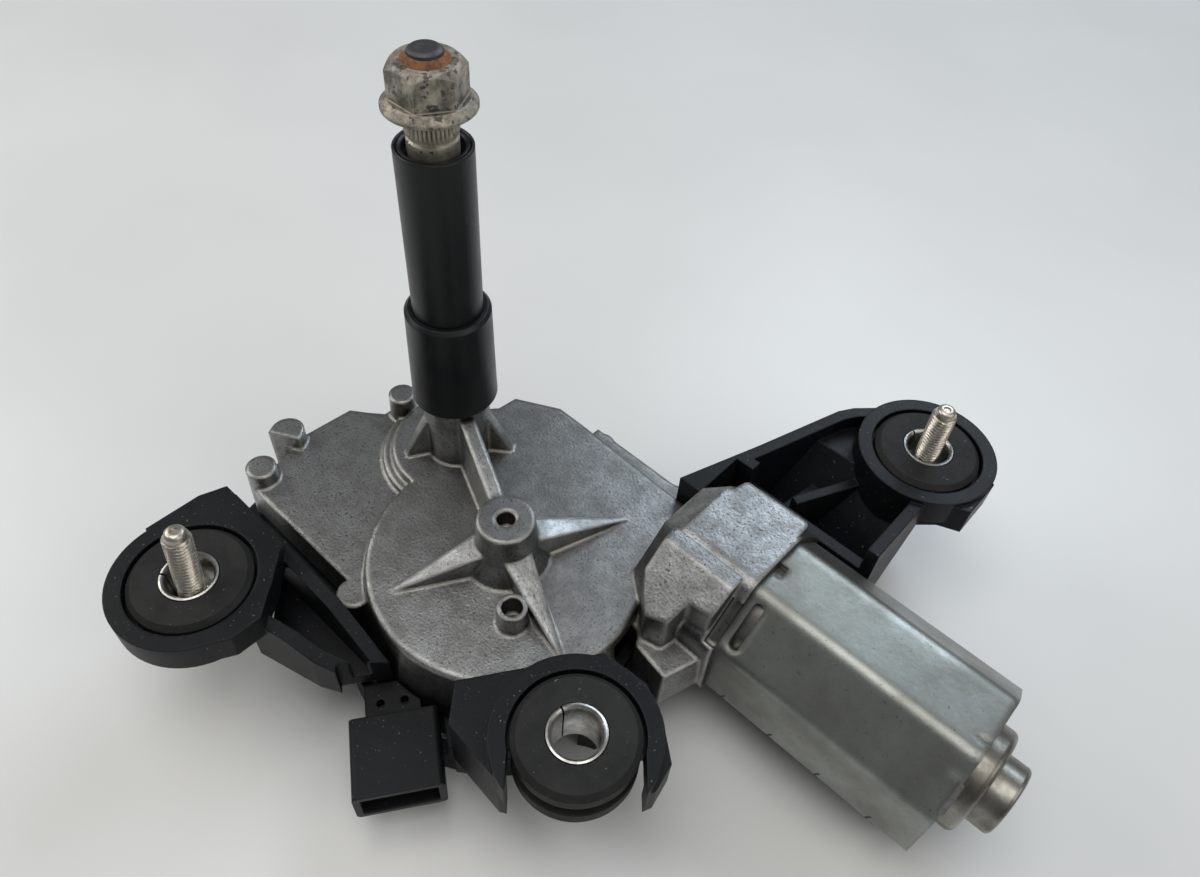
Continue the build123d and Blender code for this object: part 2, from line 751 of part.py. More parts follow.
connector_plane = Plane(
    (connector_x, connector_y, connector_top - connector_height / 2),
    x_dir=polar(1, connector_angle + 90),
    z_dir=polar(1, connector_angle),
)
with BuildPart() as mounting_bracket:
    with BuildSketch() as frame_face:
        Polygon(*bracket_outline, align=None)
        with Locations(gear_centre):
            Circle(drum_base_radius + bracket_skirt)
    extrude(amount=cover_depth - cover_flange)
    with BuildSketch() as frame_room:
        add(frame_inner.sketch)
        with Locations(gear_centre):
            Circle(drum_base_radius + bracket_skirt - bracket_wall)
    extrude(amount=plate_low, mode=Mode.SUBTRACT)
    # Left arm: a trough between a tall back wall and a front wall that falls away to the right
    with BuildSketch(Plane.XY.offset(left_arm_low)) as left_arm_face:
        Polygon(*left_arm, align=None)
    extrude(amount=left_arm_top - left_arm_low)
    with BuildSketch(Plane.XY.offset(plate_low)) as back_wall:
        with Locations((left_seat_x - 16, low_plate_front - bracket_skirt)):
            Rectangle(gear_offset_x - left_seat_x + 16, bracket_wall, align=(Align.MIN, Align.MAX))
    extrude(amount=left_arm_top - plate_low)
    with BuildSketch(Plane.XY.offset(left_arm_low + bracket_plate)) as left_trough:
        add(left_pocket.sketch)
    extrude(amount=mount_plane, mode=Mode.SUBTRACT)
    with BuildSketch(Plane.XZ) as left_arm_slope:
        Polygon(*left_arm_profile, align=None)
    extrude(amount=-2 * left_seat_y, mode=Mode.SUBTRACT)
    with BuildSketch(Plane.XY.offset(block_low)) as left_block_face:
        Polygon(*left_block, align=None)
    extrude(amount=web_top + seat_rim_height - block_low)
    # Front arm: hollow from below, its outer end hanging clear of the base
    with BuildSketch(Plane.XY.offset(plate_low)) as front_arm_face:
        Polygon(*front_arm, align=None)
    extrude(amount=web_top - plate_low)
    with BuildSketch(Plane.XY.offset(plate_low)) as front_hollow:
        add(front_pocket.sketch)
    extrude(amount=web_low - plate_low, mode=Mode.SUBTRACT)
    with BuildSketch(Plane.XY) as front_underside:
        with Locations((front_seat_x, front_seat_y)):
            Circle(front_arm_root)
        with Locations(gear_centre):
            Circle(front_arm_root, mode=Mode.SUBTRACT)
        with Locations((front_seat_x, worm_y)):
            Rectangle(4 * front_arm_root, 2 * front_arm_root, mode=Mode.SUBTRACT)
    extrude(amount=front_arm_low, mode=Mode.SUBTRACT)
    with BuildSketch(Plane.XY) as front_block_underside:
        with Locations((front_seat_x + 4, front_seat_y)):
            Rectangle(20, 50, align=(Align.MIN, Align.CENTER))
    extrude(amount=front_block_low, mode=Mode.SUBTRACT)
    # Right arm: a deep tub beside the motor whose floor climbs to the seat
    with BuildSketch(Plane.XY.offset(right_arm_low)) as right_arm_face:
        Polygon(*right_arm, align=None)
    extrude(amount=right_arm_top - right_arm_low)
    with BuildSketch(Plane.YZ.offset(hood_start)) as right_underside:
        Polygon(*right_arm_profile, align=None)
    extrude(amount=right_seat_x, mode=Mode.SUBTRACT)
    add(right_hollow.part, mode=Mode.SUBTRACT)
    with BuildSketch(Plane.XY.offset(right_arm_tip)) as low_wall_cut:
        with Locations((hood_start + 4, worm_y + hood_apothem)):
            Rectangle(right_seat_x - hood_start + 1.3, 5, align=(Align.MIN, Align.MIN))
    extrude(amount=20, mode=Mode.SUBTRACT)
    with BuildSketch(Plane.XY.offset(right_arm_low)) as pocket_step:
        Polygon(*pocket_step_outline, align=None)
    extrude(amount=right_arm_tip - right_arm_low - 5)
    with BuildSketch(Plane.XY.offset(right_arm_low)) as pocket_rib:
        with Locations(Location((right_seat_x - 12.6, right_seat_y - 22), 64)):
            Rectangle(20, 2.4)
    extrude(amount=right_arm_tip - right_arm_low + 1)
    # Seats: a thick disc with a rim that holds the grommet's upper flange
    with BuildSketch(Plane.XY.offset(web_low)) as seat_face:
        with Locations(*seats.values()):
            Circle(seat_rim_radius)
    extrude(amount=web_thickness + seat_rim_height)
    with BuildSketch(Plane.XY) as seat_room:
        with Locations(*seats.values()):
            Circle(seat_rim_inner)
    extrude(amount=web_low, mode=Mode.SUBTRACT)
    with BuildSketch(Plane.XY.offset(web_top)) as rim_room:
        with Locations(*seats.values()):
            Circle(seat_rim_inner)
    extrude(amount=20, mode=Mode.SUBTRACT)
    with BuildSketch(Plane.XY) as front_slot:
        with Locations(polar(2, slot_bearing, seats["front"])):
            Rectangle(30, 2 * grommet_radius + 0.8, rotation=slot_bearing, align=(Align.MIN, Align.CENTER))
    extrude(amount=mount_plane, mode=Mode.SUBTRACT)
    with BuildSketch(Plane.XY) as neck_holes:
        with Locations(*seats.values()):
            Circle(grommet_neck_radius)
    extrude(amount=mount_plane, mode=Mode.SUBTRACT)
    # Room for the gearbox, the hood, the motor and the connector
    with BuildSketch(Plane.XY) as tray_room:
        add(low_tray_room.sketch)
        with Locations(gear_centre):
            Circle(drum_base_radius - cover_step + bracket_gap)
    extrude(amount=plate_low + bracket_plate, mode=Mode.SUBTRACT)
    with BuildSketch(Plane.XY) as head_room:
        with Locations(*screw_spots):
            Circle(screw_head_radius + 0.5)
    extrude(amount=plate_low, mode=Mode.SUBTRACT)
    with BuildSketch(Plane.XY.offset(cover_depth - cover_flange)) as wheel_room:
        with Locations(gear_centre):
            Circle(drum_base_radius + bracket_gap)
    extrude(amount=main_plate_rise + cover_flange + bracket_gap, mode=Mode.SUBTRACT)
    with BuildSketch(Plane.XY.offset(cover_depth - cover_flange)) as housing_room:
        with Locations((20, main_plate_back - 4)):
            Rectangle(main_plate_end - 20, strip_width + 5, align=(Align.MIN, Align.MIN))
        with Locations(*screw_spots):
            Circle(lug_radius + bracket_gap)
    extrude(amount=strip_z + bracket_gap - cover_depth + cover_flange, mode=Mode.SUBTRACT)
    with BuildSketch(motor_plane(hood_start - 0.9)) as motor_room:
        RegularPolygon(hood_apothem + bracket_gap, 8, major_radius=False, rotation=22.5)
    extrude(amount=90, mode=Mode.SUBTRACT)
    with BuildSketch(Plane.XY.offset(cover_depth - cover_flange)) as foot_room:
        with Locations((hood_start, hood_side - 10.5)):
            Rectangle(30, 30, align=(Align.MIN, Align.MIN))
    extrude(amount=30, mode=Mode.SUBTRACT)
    with BuildSketch(connector_plane.offset(-connector_length)) as connector_room:
        with Locations((0, 4)):
            Rectangle(connector_width + 2, connector_height + 10)
    extrude(amount=2.5 * connector_length, mode=Mode.SUBTRACT)
    with BuildSketch(Plane.XY.offset(plate_low)) as bracket_screw_holes:
        with Locations(*screw_spots):
            Circle(screw_radius + 0.2)
    extrude(amount=bracket_plate, mode=Mode.SUBTRACT)
save(mounting_bracket, "mounting_bracket")

# Rubber grommets, each with two flanges and a waist that sits in its web
for side, seat in seats.items():
    with BuildPart() as grommet:
        with BuildSketch(upright(seat)) as grommet_half:
            Polygon(
                (bush_outer_radius, web_low - grommet_flange),
                (grommet_radius - 0.8, web_low - grommet_flange),
                (grommet_radius, web_low - grommet_flange + 0.8),
                (grommet_radius, web_low),
                (grommet_neck_radius - fit_gap, web_low),
                (grommet_neck_radius - fit_gap, web_top),
                (grommet_radius, web_top),
                (grommet_radius, mount_plane - 1.2),
                (grommet_radius - 1.2, mount_plane),
                (bush_outer_radius, mount_plane),
                align=None,
            )
        revolve(axis=Axis((seat[0], seat[1], 0), (0, 0, 1)))
    save(grommet, f"{side}_grommet")

# Rolled steel bushes with a slit, one in each grommet
slit_bearings = {"left": 180, "front": 130, "right": 160}
for side, seat in seats.items():
    with BuildPart() as bush:
        with BuildSketch(Plane.XY.offset(bush_foot)) as bush_face:
            with Locations(seat):
                Circle(bush_outer_radius)
                Circle(bush_bore_radius, mode=Mode.SUBTRACT)
            with Locations(Location(seat, slit_bearings[side])):
                Rectangle(
                    bush_outer_radius + 1,
                    bush_slit,
                    align=(Align.MIN, Align.CENTER),
                    mode=Mode.SUBTRACT,
                )
        extrude(amount=mount_plane + bush_proud - bush_foot)
    save(bush, f"{side}_bush")

# Loose mounting bolts that lean a little in the left and the right bush
lean_planes = {
    "left": Plane(
        (left_seat_x + 0.3, left_seat_y - 0.6, mount_plane - stud_sink),
        x_dir=(1, 0, 0),
        z_dir=(0, sin(radians(left_lean)), cos(radians(left_lean))),
    ),
    "right": Plane(
        (right_seat_x + 0.3, right_seat_y + 0.1, mount_plane - stud_sink),
        x_dir=(1, 0, 0),
        z_dir=(0, sin(radians(right_lean)), cos(radians(right_lean))),
    ),
}
stud_low = bush_foot - mount_plane + 2
for side, lean in lean_planes.items():
    with BuildPart() as stud:
        with BuildSketch(lean.offset(stud_thread_start)) as thread_face:
            Circle(stud_radius)
        extrude(amount=stud_sink + stud_reach - stud_thread_start)
        chamfer(stud.edges().group_by(Axis.Z)[-1], 0.7)
        with BuildSketch(lean.offset(stud_low)) as shank_side:
            Circle(stud_shank_radius)
        extrude(amount=stud_thread_start - stud_low)
        with BuildSketch(lean.offset(stud_low)) as stud_head_face:
            Circle(stud_head_radius)
        extrude(amount=-1.2)
        with BuildSketch(lean.offset(stud_low - 1.2)) as stud_hex:
            RegularPolygon(stud_head_radius - 2, 6, major_radius=False)
        extrude(amount=1.2 - stud_head)
    save(stud, f"{side}_stud")

# Connector: a four-way socket that leans out from under the gearbox, with its block and its pins
neck_centre = polar(connector_length / 2 + 3.5, connector_angle + 180, (connector_x, connector_y))
neck_top = Plane(
    (*neck_centre, connector_top - 2),
    x_dir=polar(1, connector_angle + 90),
    z_dir=(0, 0, 1),
)
with BuildPart() as connector_shell:
    with BuildSketch(connector_plane.offset(-connector_length / 2)) as shell_face:
        Rectangle(connector_width, connector_height)
        fillet(shell_face.vertices(), 1.2)
    extrude(amount=connector_length)
    with BuildSketch(connector_plane.offset(connector_length / 2)) as mouth_face:
        Rectangle(connector_width - 2 * connector_wall, connector_height - 2 * connector_wall)
    extrude(amount=-connector_depth, mode=Mode.SUBTRACT)
    with BuildSketch(connector_plane.offset(connector_length / 2 - 9)) as latch_face:
        with Locations((-3, -connector_height / 2 - 1), (3, -connector_height / 2 - 1)):
            Rectangle(2, 2.4)
    extrude(amount=7)
    with BuildSketch(connector_plane.offset(-connector_length / 2 + 1)) as neck_face:
        with Locations((0, -0.5)):
            Rectangle(connector_neck, connector_height - 3)
    extrude(amount=-connector_neck_length)
    with BuildSketch(neck_top) as neck_holes_face:
        with Locations((-2.6, 0), (2.6, 0)):
            Circle(0.9)
    extrude(amount=-3, mode=Mode.SUBTRACT)
    with BuildSketch(Plane.XY) as drum_room:
        with Locations(gear_centre):
            Circle(drum_base_radius + bracket_gap)
    extrude(amount=mount_plane, mode=Mode.SUBTRACT)
    pin_plane = connector_plane.offset(connector_length / 2 - connector_depth - 3)
    with BuildSketch(pin_plane) as pin_slots:
        with GridLocations((connector_width - 7) / (pin_count - 1), 1, pin_count, 1):
            Rectangle(pin_size, pin_size)
    extrude(amount=5, mode=Mode.SUBTRACT)
save(connector_shell, "connector_shell")

with BuildPart() as connector_terminals:
    with BuildSketch(pin_plane) as pin_faces:
        with GridLocations((connector_width - 7) / (pin_count - 1), 1, pin_count, 1):
            Rectangle(pin_size, pin_size)
    extrude(amount=3 + pin_length)
save(connector_terminals, "connector_terminals")

# Axle of the worm wheel, pressed into the boss, with a head that keeps the wheel on
axle_low = wheel_low - 0.4 - axle_head
with BuildPart() as wheel_axle:
    with BuildSketch(Plane.XY.offset(axle_low)) as axle_head_face:
        with Locations(gear_centre):
            Circle(axle_head_radius)
    extrude(amount=axle_head)
    with BuildSketch(Plane.XY.offset(axle_low)) as axle_face:
        with Locations(gear_centre):
            Circle(axle_radius)
    extrude(amount=drum_ceiling + boss_rise - boss_hole_depth - fit_gap - axle_low)
save(wheel_axle, "wheel_axle")

# Bearings and dressing of the tower
for name, low in (("tower_lower_bush", drum_ceiling + 0.4), ("tower_upper_bush", tower_top - bush_length)):
    with BuildPart() as tower_bush:
        with BuildSketch(Plane.XY.offset(low)) as tower_bush_face:
            Circle(bush_radius)
            Circle(spindle_radius + running_gap, mode=Mode.SUBTRACT)
        extrude(amount=bush_length)
    save(tower_bush, name)

with BuildPart() as shaft_seal:
    with BuildSketch(Plane.XY.offset(tower_top)) as seal_face:
        Circle(tower_tube_radius)
        Circle(spindle_radius + running_gap, mode=Mode.SUBTRACT)
    extrude(amount=seal_height)
save(shaft_seal, "shaft_seal")

with BuildPart() as spindle_sleeve:
    with BuildSketch(Plane.XY.offset(tower_shoulder)) as sleeve_face:
        Circle(sleeve_radius)
        Circle(tower_tube_radius + fit_gap, mode=Mode.SUBTRACT)
    extrude(amount=sleeve_top - tower_shoulder)
    chamfer(spindle_sleeve.edges().group_by(Axis.Z)[-1], 0.3)
save(spindle_sleeve, "spindle_sleeve")

with BuildPart() as tower_collar:
    with BuildSketch(upright((0, 0))) as collar_half:
        Polygon(
            (tower_radius + fit_gap, collar_bottom),
            (collar_foot_radius, collar_bottom),
            (collar_foot_radius - 0.1, tower_shoulder),
            (collar_top_radius, collar_top - 0.8),
            (collar_top_radius - 0.8, collar_top),
            (sleeve_radius + fit_gap, collar_top),
            (sleeve_radius + fit_gap, tower_shoulder + fit_gap),
            (tower_radius + fit_gap, tower_shoulder + fit_gap),
            align=None,
        )
    revolve(axis=Axis.Z)
save(tower_collar, "tower_collar")

# Spindle with its knurled seat for the wiper arm, the pinion, the nut and the clip
spindle_foot = cover_floor + 1.2
clip_low = spindle_foot + 0.4
with BuildPart() as wiper_spindle:
    with BuildSketch(upright((0, 0))) as spindle_half:
        Polygon(
            (0, spindle_foot),
            (spindle_radius - 0.4, spindle_foot),
            (spindle_radius, spindle_foot + 0.3),
            (spindle_radius, clip_low),
            (spindle_radius - clip_thickness, clip_low),
            (spindle_radius - clip_thickness, clip_low + clip_thickness),
            (spindle_radius, clip_low + clip_thickness),
            (spindle_radius, knurl_top - knurl_length - 0.6),
            (spindle_radius - 0.6, knurl_top - knurl_length - 0.6),
            (spindle_radius - 0.6, knurl_top - knurl_length),
            (knurl_radius, knurl_top - knurl_length),
            (knurl_radius, knurl_top - 0.5),
            (spindle_radius - 0.3, knurl_top),
            (spindle_thread_radius, knurl_top),
            (spindle_thread_radius, knurl_top + nut_height + 0.5),
            (thread_end_radius, knurl_top + nut_height + 0.5),
            (thread_end_radius, spindle_top - 0.8),
            (thread_end_radius - 0.9, spindle_top),
            (0, spindle_top),
            align=None,
        )
    revolve(axis=Axis.Z)
save(wiper_spindle, "wiper_spindle")

with BuildPart() as spindle_pinion:
    with BuildSketch(Plane.XY.offset(link_low)) as pinion_face:
        Polygon(*gear_points(pinion_teeth, link_module, link_backlash, rocker_bearing, pinion_teeth, (0, 0)),
                align=None)
        Circle(spindle_radius, mode=Mode.SUBTRACT)
    extrude(amount=sector_thickness)
save(spindle_pinion, "spindle_pinion")

nut_low = knurl_top + 0.4
with BuildPart() as spindle_nut:
    with BuildSketch(Plane.XY.offset(nut_low)) as nut_flange_face:
        Circle(nut_flange_radius)
    extrude(amount=nut_flange)
    with BuildSketch(Plane.XY.offset(nut_low)) as nut_face:
        RegularPolygon(nut_across_flats / 2, 6, major_radius=False)
    extrude(amount=nut_height - 0.4)
    with BuildSketch(upright((0, 0))) as nut_half:
        Polygon(
            (0, nut_low),
            (nut_flange_radius, nut_low),
            (nut_flange_radius, nut_low + 0.6),
            (nut_across_flats * 0.59, nut_low + nut_flange),
            (nut_across_flats * 0.59, nut_low + nut_height - 2),
            (nut_across_flats * 0.46, nut_low + nut_height - 0.4),
            (0, nut_low + nut_height - 0.4),
            align=None,
        )
    revolve(axis=Axis.Z, mode=Mode.INTERSECT)
    with BuildSketch(Plane.XY.offset(knurl_top)) as nut_bore:
        Circle(spindle_thread_radius)
    extrude(amount=nut_height + 1, mode=Mode.SUBTRACT)
save(spindle_nut, "spindle_nut")

with BuildPart() as spindle_clip:
    with BuildSketch(Plane.XY.offset(clip_low)) as clip_face:
        Circle(clip_radius)
        Circle(spindle_radius - clip_thickness, mode=Mode.SUBTRACT)
        with Locations(Location((0, 0), 90)):
            Rectangle(clip_radius + 1, 5, align=(Align.MIN, Align.CENTER), mode=Mode.SUBTRACT)
    extrude(amount=clip_thickness)
save(spindle_clip, "spindle_clip")

# Rocker: two plates that swing about the spindle and carry the pin of the toothed rod
rocker_middle = polar(rocker_length / 2, rocker_bearing)
rocker_eye = rocker_pin_radius + rocker_eye_wall + 1
for name, low in (("rocker_lower", link_low - link_gap - link_plate), ("rocker_upper", link_high + link_gap)):
    with BuildPart() as rocker_plate:
        with BuildSketch(Plane.XY.offset(low)) as plate_face:
            with Locations(Location(rocker_middle, rocker_bearing)):
                SlotCenterToCenter(rocker_length, 2 * rocker_eye)
            Circle(spindle_radius + running_gap, mode=Mode.SUBTRACT)
            with Locations(rocker_end):
                Circle(rocker_pin_radius, mode=Mode.SUBTRACT)
        extrude(amount=link_plate)
    save(rocker_plate, name)

with BuildPart() as rocker_pin:
    with BuildSketch(Plane.XY.offset(link_low - link_gap - link_plate)) as rocker_pin_face:
        with Locations(rocker_end):
            Circle(rocker_pin_radius)
    extrude(amount=sector_thickness + 2 * link_gap + 2 * link_plate)
save(rocker_pin, "rocker_pin")

# Toothed rod: one plate with a toothed sector at the rocker and an eye for the crank pin
contact_bearing = rocker_bearing + 180
tooth_pitch = 360 / sector_teeth
first_tooth = contact_bearing + tooth_pitch / 2 - (sector_cut_teeth - 1) * tooth_pitch
crank_eye_radius = crank_pin_radius + rod_eye_wall
eye_top = wheel_low - crank_pin_drop - open_pivot_gap
sector_blank = gear_points(sector_teeth, link_module, link_backlash, first_tooth, sector_cut_teeth, rocker_end)
with BuildPart() as sector_rod:
    with BuildSketch(Plane.XY.offset(link_low)) as sector_face:
        Polygon(*sector_blank, polar(2, contact_bearing + 45, rocker_end), rocker_end,
                polar(2, first_tooth - 20, rocker_end), align=None)
        with Locations(rocker_end):
            Circle(rocker_pin_radius + rocker_eye_wall)
    extrude(amount=sector_thickness)
    with BuildSketch(Plane.XY.offset(link_low)) as rod_face:
        with Locations(Location(polar(rod_length / 2, rod_bearing, rocker_end), rod_bearing)):
            Rectangle(rod_length, rod_width)
    extrude(amount=rod_thickness)
    with BuildSketch(Plane.XY.offset(link_low)) as crank_eye_face:
        with Locations(crank_end):
            Circle(crank_eye_radius)
    extrude(amount=eye_top - link_low)
    with BuildSketch(Plane.XY.offset(link_low)) as crank_hole:
        with Locations(crank_end):
            Circle(crank_pin_radius + running_gap)
    extrude(amount=eye_top - link_low, mode=Mode.SUBTRACT)
    with BuildSketch(Plane.XY.offset(link_low)) as rocker_hole:
        with Locations(rocker_end):
            Circle(rocker_pin_radius + running_gap)
    extrude(amount=sector_thickness, mode=Mode.SUBTRACT)
save(sector_rod, "sector_rod")

# Worm wheel: slanted teeth drawn between two turned profiles, a thin web and a hub
worm_lead = pi * wheel_module
wheel_turn = degrees(worm_lead / (2 * pi * worm_pitch_radius) * wheel_face / wheel_radius) / 2
low_bearing = worm_bearing - wheel_turn
high_bearing = worm_bearing + wheel_turn
wheel_teeth_low = gear_points(wheel_teeth, wheel_module, wheel_backlash, low_bearing, wheel_teeth, gear_centre)
wheel_teeth_high = gear_points(wheel_teeth, wheel_module, wheel_backlash, high_bearing, wheel_teeth, gear_centre)
with BuildPart() as worm_wheel:
    with BuildSketch(Plane.XY.offset(wheel_low)) as low_teeth:
        Polygon(*wheel_teeth_low, align=None)
    with BuildSketch(Plane.XY.offset(wheel_high)) as high_teeth:
        Polygon(*wheel_teeth_high, align=None)
    loft(ruled=True)
    with BuildSketch(Plane.XY.offset(wheel_high)) as web_recess:
        with Locations(gear_centre):
            Circle(wheel_radius - wheel_rim - 2)
            Circle(axle_radius + wheel_rim, mode=Mode.SUBTRACT)
    extrude(amount=wheel_web - wheel_face, mode=Mode.SUBTRACT)
    with BuildSketch(Plane.XY.offset(wheel_high - 1)) as hub_face:
        with Locations(gear_centre):
            Circle(axle_radius + wheel_rim)
    extrude(amount=drum_ceiling - 0.15 - wheel_high + 1)
    with BuildSketch(Plane.XY.offset(wheel_low)) as wheel_bore:
        with Locations(gear_centre):
            Circle(axle_radius + running_gap)
    extrude(amount=drum_ceiling - wheel_low, mode=Mode.SUBTRACT)
save(worm_wheel, "worm_wheel")

with BuildPart() as crank_pin:
    with BuildSketch(Plane.XY.offset(wheel_low)) as crank_pin_face:
        with Locations(crank_end):
            Circle(crank_pin_radius)
    extrude(amount=-crank_pin_drop)
save(crank_pin, "crank_pin")

with BuildPart() as park_disc:
    with BuildSketch(Plane.XY.offset(wheel_low)) as park_face:
        with Locations(gear_centre):
            Circle(wheel_radius - 2)
            Circle(wheel_radius - 10, mode=Mode.SUBTRACT)
        with Locations(Location(gear_centre, -60)):
            Rectangle(wheel_radius - 5, 4, align=(Align.MIN, Align.CENTER), mode=Mode.SUBTRACT)
    extrude(amount=-0.4)
save(park_disc, "park_disc")

# Contact springs: three fingers on a moulded post that feel the park disc
post_plane = Plane((*polar(wheel_radius - 6, -100, gear_centre), cover_floor), x_dir=polar(1, -10),
                   z_dir=(0, 0, 1))
finger_top = wheel_low - 0.7
with BuildPart() as contact_springs:
    with BuildSketch(post_plane) as post_face:
        with Locations((6, 0)):
            Rectangle(4, 9)
    extrude(amount=finger_top - 3 - cover_floor)
    with BuildSketch(post_plane.offset(finger_top - 3 - cover_floor)) as finger_roots:
        with Locations((6, -3), (6, 0), (6, 3)):
            Rectangle(1.2, 1.4)
    extrude(amount=2)
    with BuildSketch(post_plane.offset(finger_top - 1 - cover_floor)) as finger_tips:
        with Locations((2.4, -3), (2.4, 0), (2.4, 3)):
            Rectangle(8.4, 1.4)
    extrude(amount=0.6)
save(contact_springs, "contact_springs")

# Armature: shaft with the worm, the slotted core, the windings and the commutator
worm_start = gear_offset_x + worm_lead / 4 - worm_turns / 2 * worm_lead
worm_origin = (worm_start, worm_y, motor_height)
worm_root_half = 1.2 * wheel_module
worm_tip_half = 0.494 * wheel_module
shaft_end = ring_end + can_step + can_cap - 2.2
with BuildPart() as armature_shaft:
    with BuildSketch(motor_plane(shaft_nose)) as shaft_face:
        Circle(shaft_radius)
    extrude(amount=shaft_end - shaft_nose)
    with BuildLine() as thread_path:
        Helix(worm_lead, worm_turns * worm_lead, shaft_radius, worm_origin, (1, 0, 0))
    with BuildSketch(Plane(worm_origin, x_dir=(0, 0, 1), z_dir=(0, 1, 0))) as worm_tooth:
        Polygon(
            (shaft_radius - 0.3, -worm_root_half),
            (worm_pitch_radius + 0.8 * wheel_module, -worm_tip_half),
            (worm_pitch_radius + 0.8 * wheel_module, worm_tip_half),
            (shaft_radius - 0.3, worm_root_half),
            align=None,
        )
    sweep(path=thread_path.line, is_frenet=True)
save(armature_shaft, "armature_shaft")

with BuildPart() as armature_core:
    with BuildSketch(motor_plane(core_centre - core_length / 2)) as core_face:
        Circle(can_radius - can_wall - 0.1 - magnet_thickness - air_gap)
        Circle(shaft_radius, mode=Mode.SUBTRACT)
        with PolarLocations(8.2, core_slots):
            SlotOverall(5.2, 3.6, mode=Mode.SUBTRACT)
        with PolarLocations(11.2, core_slots):
            Rectangle(4, 1.6, mode=Mode.SUBTRACT)
    extrude(amount=core_length)
save(armature_core, "armature_core")

core_face_x = core_centre - core_length / 2
with BuildPart() as armature_windings:
    with BuildSketch(motor_plane(core_face_x - 5)) as winding_face:
        with PolarLocations(8.2, core_slots):
            SlotOverall(5.0, 3.4)
    extrude(amount=core_length + 10)
    with BuildSketch(motor_plane(core_face_x)) as front_turns:
        Circle(10.6)
        Circle(shaft_radius + 1.6, mode=Mode.SUBTRACT)
    extrude(amount=-5.5)
    with BuildSketch(motor_plane(core_face_x + core_length)) as rear_turns:
        Circle(10.6)
        Circle(shaft_radius + 1.6, mode=Mode.SUBTRACT)
    extrude(amount=5.5)
save(armature_windings, "armature_windings")

with BuildPart() as commutator:
    with BuildSketch(motor_plane(commutator_start)) as commutator_face:
        Circle(commutator_radius)
        Circle(shaft_radius, mode=Mode.SUBTRACT)
        with PolarLocations(commutator_radius, core_slots):
            Rectangle(1.6, 0.5, mode=Mode.SUBTRACT)
    extrude(amount=commutator_length)
    with BuildSketch(motor_plane(commutator_start + commutator_length)) as hook_face:
        Circle(commutator_radius + 1)
        Circle(shaft_radius, mode=Mode.SUBTRACT)
    extrude(amount=1.4)
save(commutator, "commutator")

# Motor body: deep-drawn can, eight-sided flux ring, magnets and rear bearing
with BuildPart() as motor_can:
    with BuildSketch(motor_plane(ring_start - 6)) as can_face:
        Circle(can_radius)
    extrude(amount=ring_length + 6)
    fillet(motor_can.edges().group_by(Axis.X)[-1], 1.2)
    with BuildSketch(motor_plane(ring_end - 1)) as step_face:
        Circle(can_step_radius)
    extrude(amount=can_step + 1)
    fillet(motor_can.edges().group_by(Axis.X)[-1], 1.5)
    with BuildSketch(motor_plane(ring_end)) as cap_face:
        Circle(can_cap_radius)
    extrude(amount=can_step + can_cap)
    fillet(motor_can.edges().group_by(Axis.X)[-1], 1)
    with BuildSketch(motor_plane(ring_start - 6)) as can_hollow:
        Circle(can_radius - can_wall)
    extrude(amount=ring_length + 6 - can_wall, mode=Mode.SUBTRACT)
    with BuildSketch(motor_plane(ring_end - can_wall)) as cap_hollow:
        Circle(bearing_radius)
    extrude(amount=can_wall + can_step + can_cap - can_wall, mode=Mode.SUBTRACT)
save(motor_can, "motor_can")

with BuildPart() as flux_ring:
    with BuildSketch(motor_plane(ring_start)) as ring_face:
        RegularPolygon(ring_apothem, 8, major_radius=False, rotation=22.5)
        fillet(ring_face.vertices(), ring_corner)
        Circle(can_radius + fit_gap, mode=Mode.SUBTRACT)
    extrude(amount=ring_length)
    with BuildSketch(near_facet.offset(ring_apothem - 5)) as ring_slot:
        with Locations((3, 0)):
            SlotOverall(12, 2.6, rotation=90)
    extrude(amount=10, mode=Mode.SUBTRACT)
    with BuildSketch(Plane.XY.offset(motor_height + ring_apothem)) as ring_notches:
        with Locations((ring_start, worm_y - 0.6)):
            Rectangle(2.5, 3.5, align=(Align.MIN, Align.CENTER))
        with Locations((ring_end, worm_y - 12.3), (ring_end, worm_y - 4.3)):
            Rectangle(3, 0.6, align=(Align.MAX, Align.CENTER))
    extrude(amount=-ring_corner, mode=Mode.SUBTRACT)
save(flux_ring, "flux_ring")

magnet_outer = can_radius - can_wall - fit_gap
magnet_split = 2 * magnet_outer * cos(radians(magnet_angle / 2))
with BuildPart() as magnets:
    with BuildSketch(motor_plane(core_centre - magnet_length / 2)) as magnet_face:
        Circle(magnet_outer)
        Circle(magnet_outer - magnet_thickness, mode=Mode.SUBTRACT)
        Rectangle(4 * magnet_outer, magnet_split, mode=Mode.SUBTRACT)
    extrude(amount=magnet_length)
save(magnets, "magnets")

with BuildPart() as rear_bearing:
    with BuildSketch(motor_plane(ring_end + 1)) as rear_bearing_face:
        Circle(bearing_radius)
        Circle(shaft_radius + running_gap, mode=Mode.SUBTRACT)
    extrude(amount=bearing_length)
save(rear_bearing, "rear_bearing")

with BuildPart() as front_bearing:
    with BuildSketch(motor_plane(hood_start)) as front_bearing_face:
        Circle(bearing_radius)
        Circle(shaft_radius + running_gap, mode=Mode.SUBTRACT)
    extrude(amount=bearing_length)
save(front_bearing, "front_bearing")

with BuildPart() as thrust_plug:
    with BuildSketch(motor_plane(shaft_nose - 6)) as plug_face:
        Circle(bearing_radius)
    extrude(amount=6 - fit_gap)
save(thrust_plug, "thrust_plug")

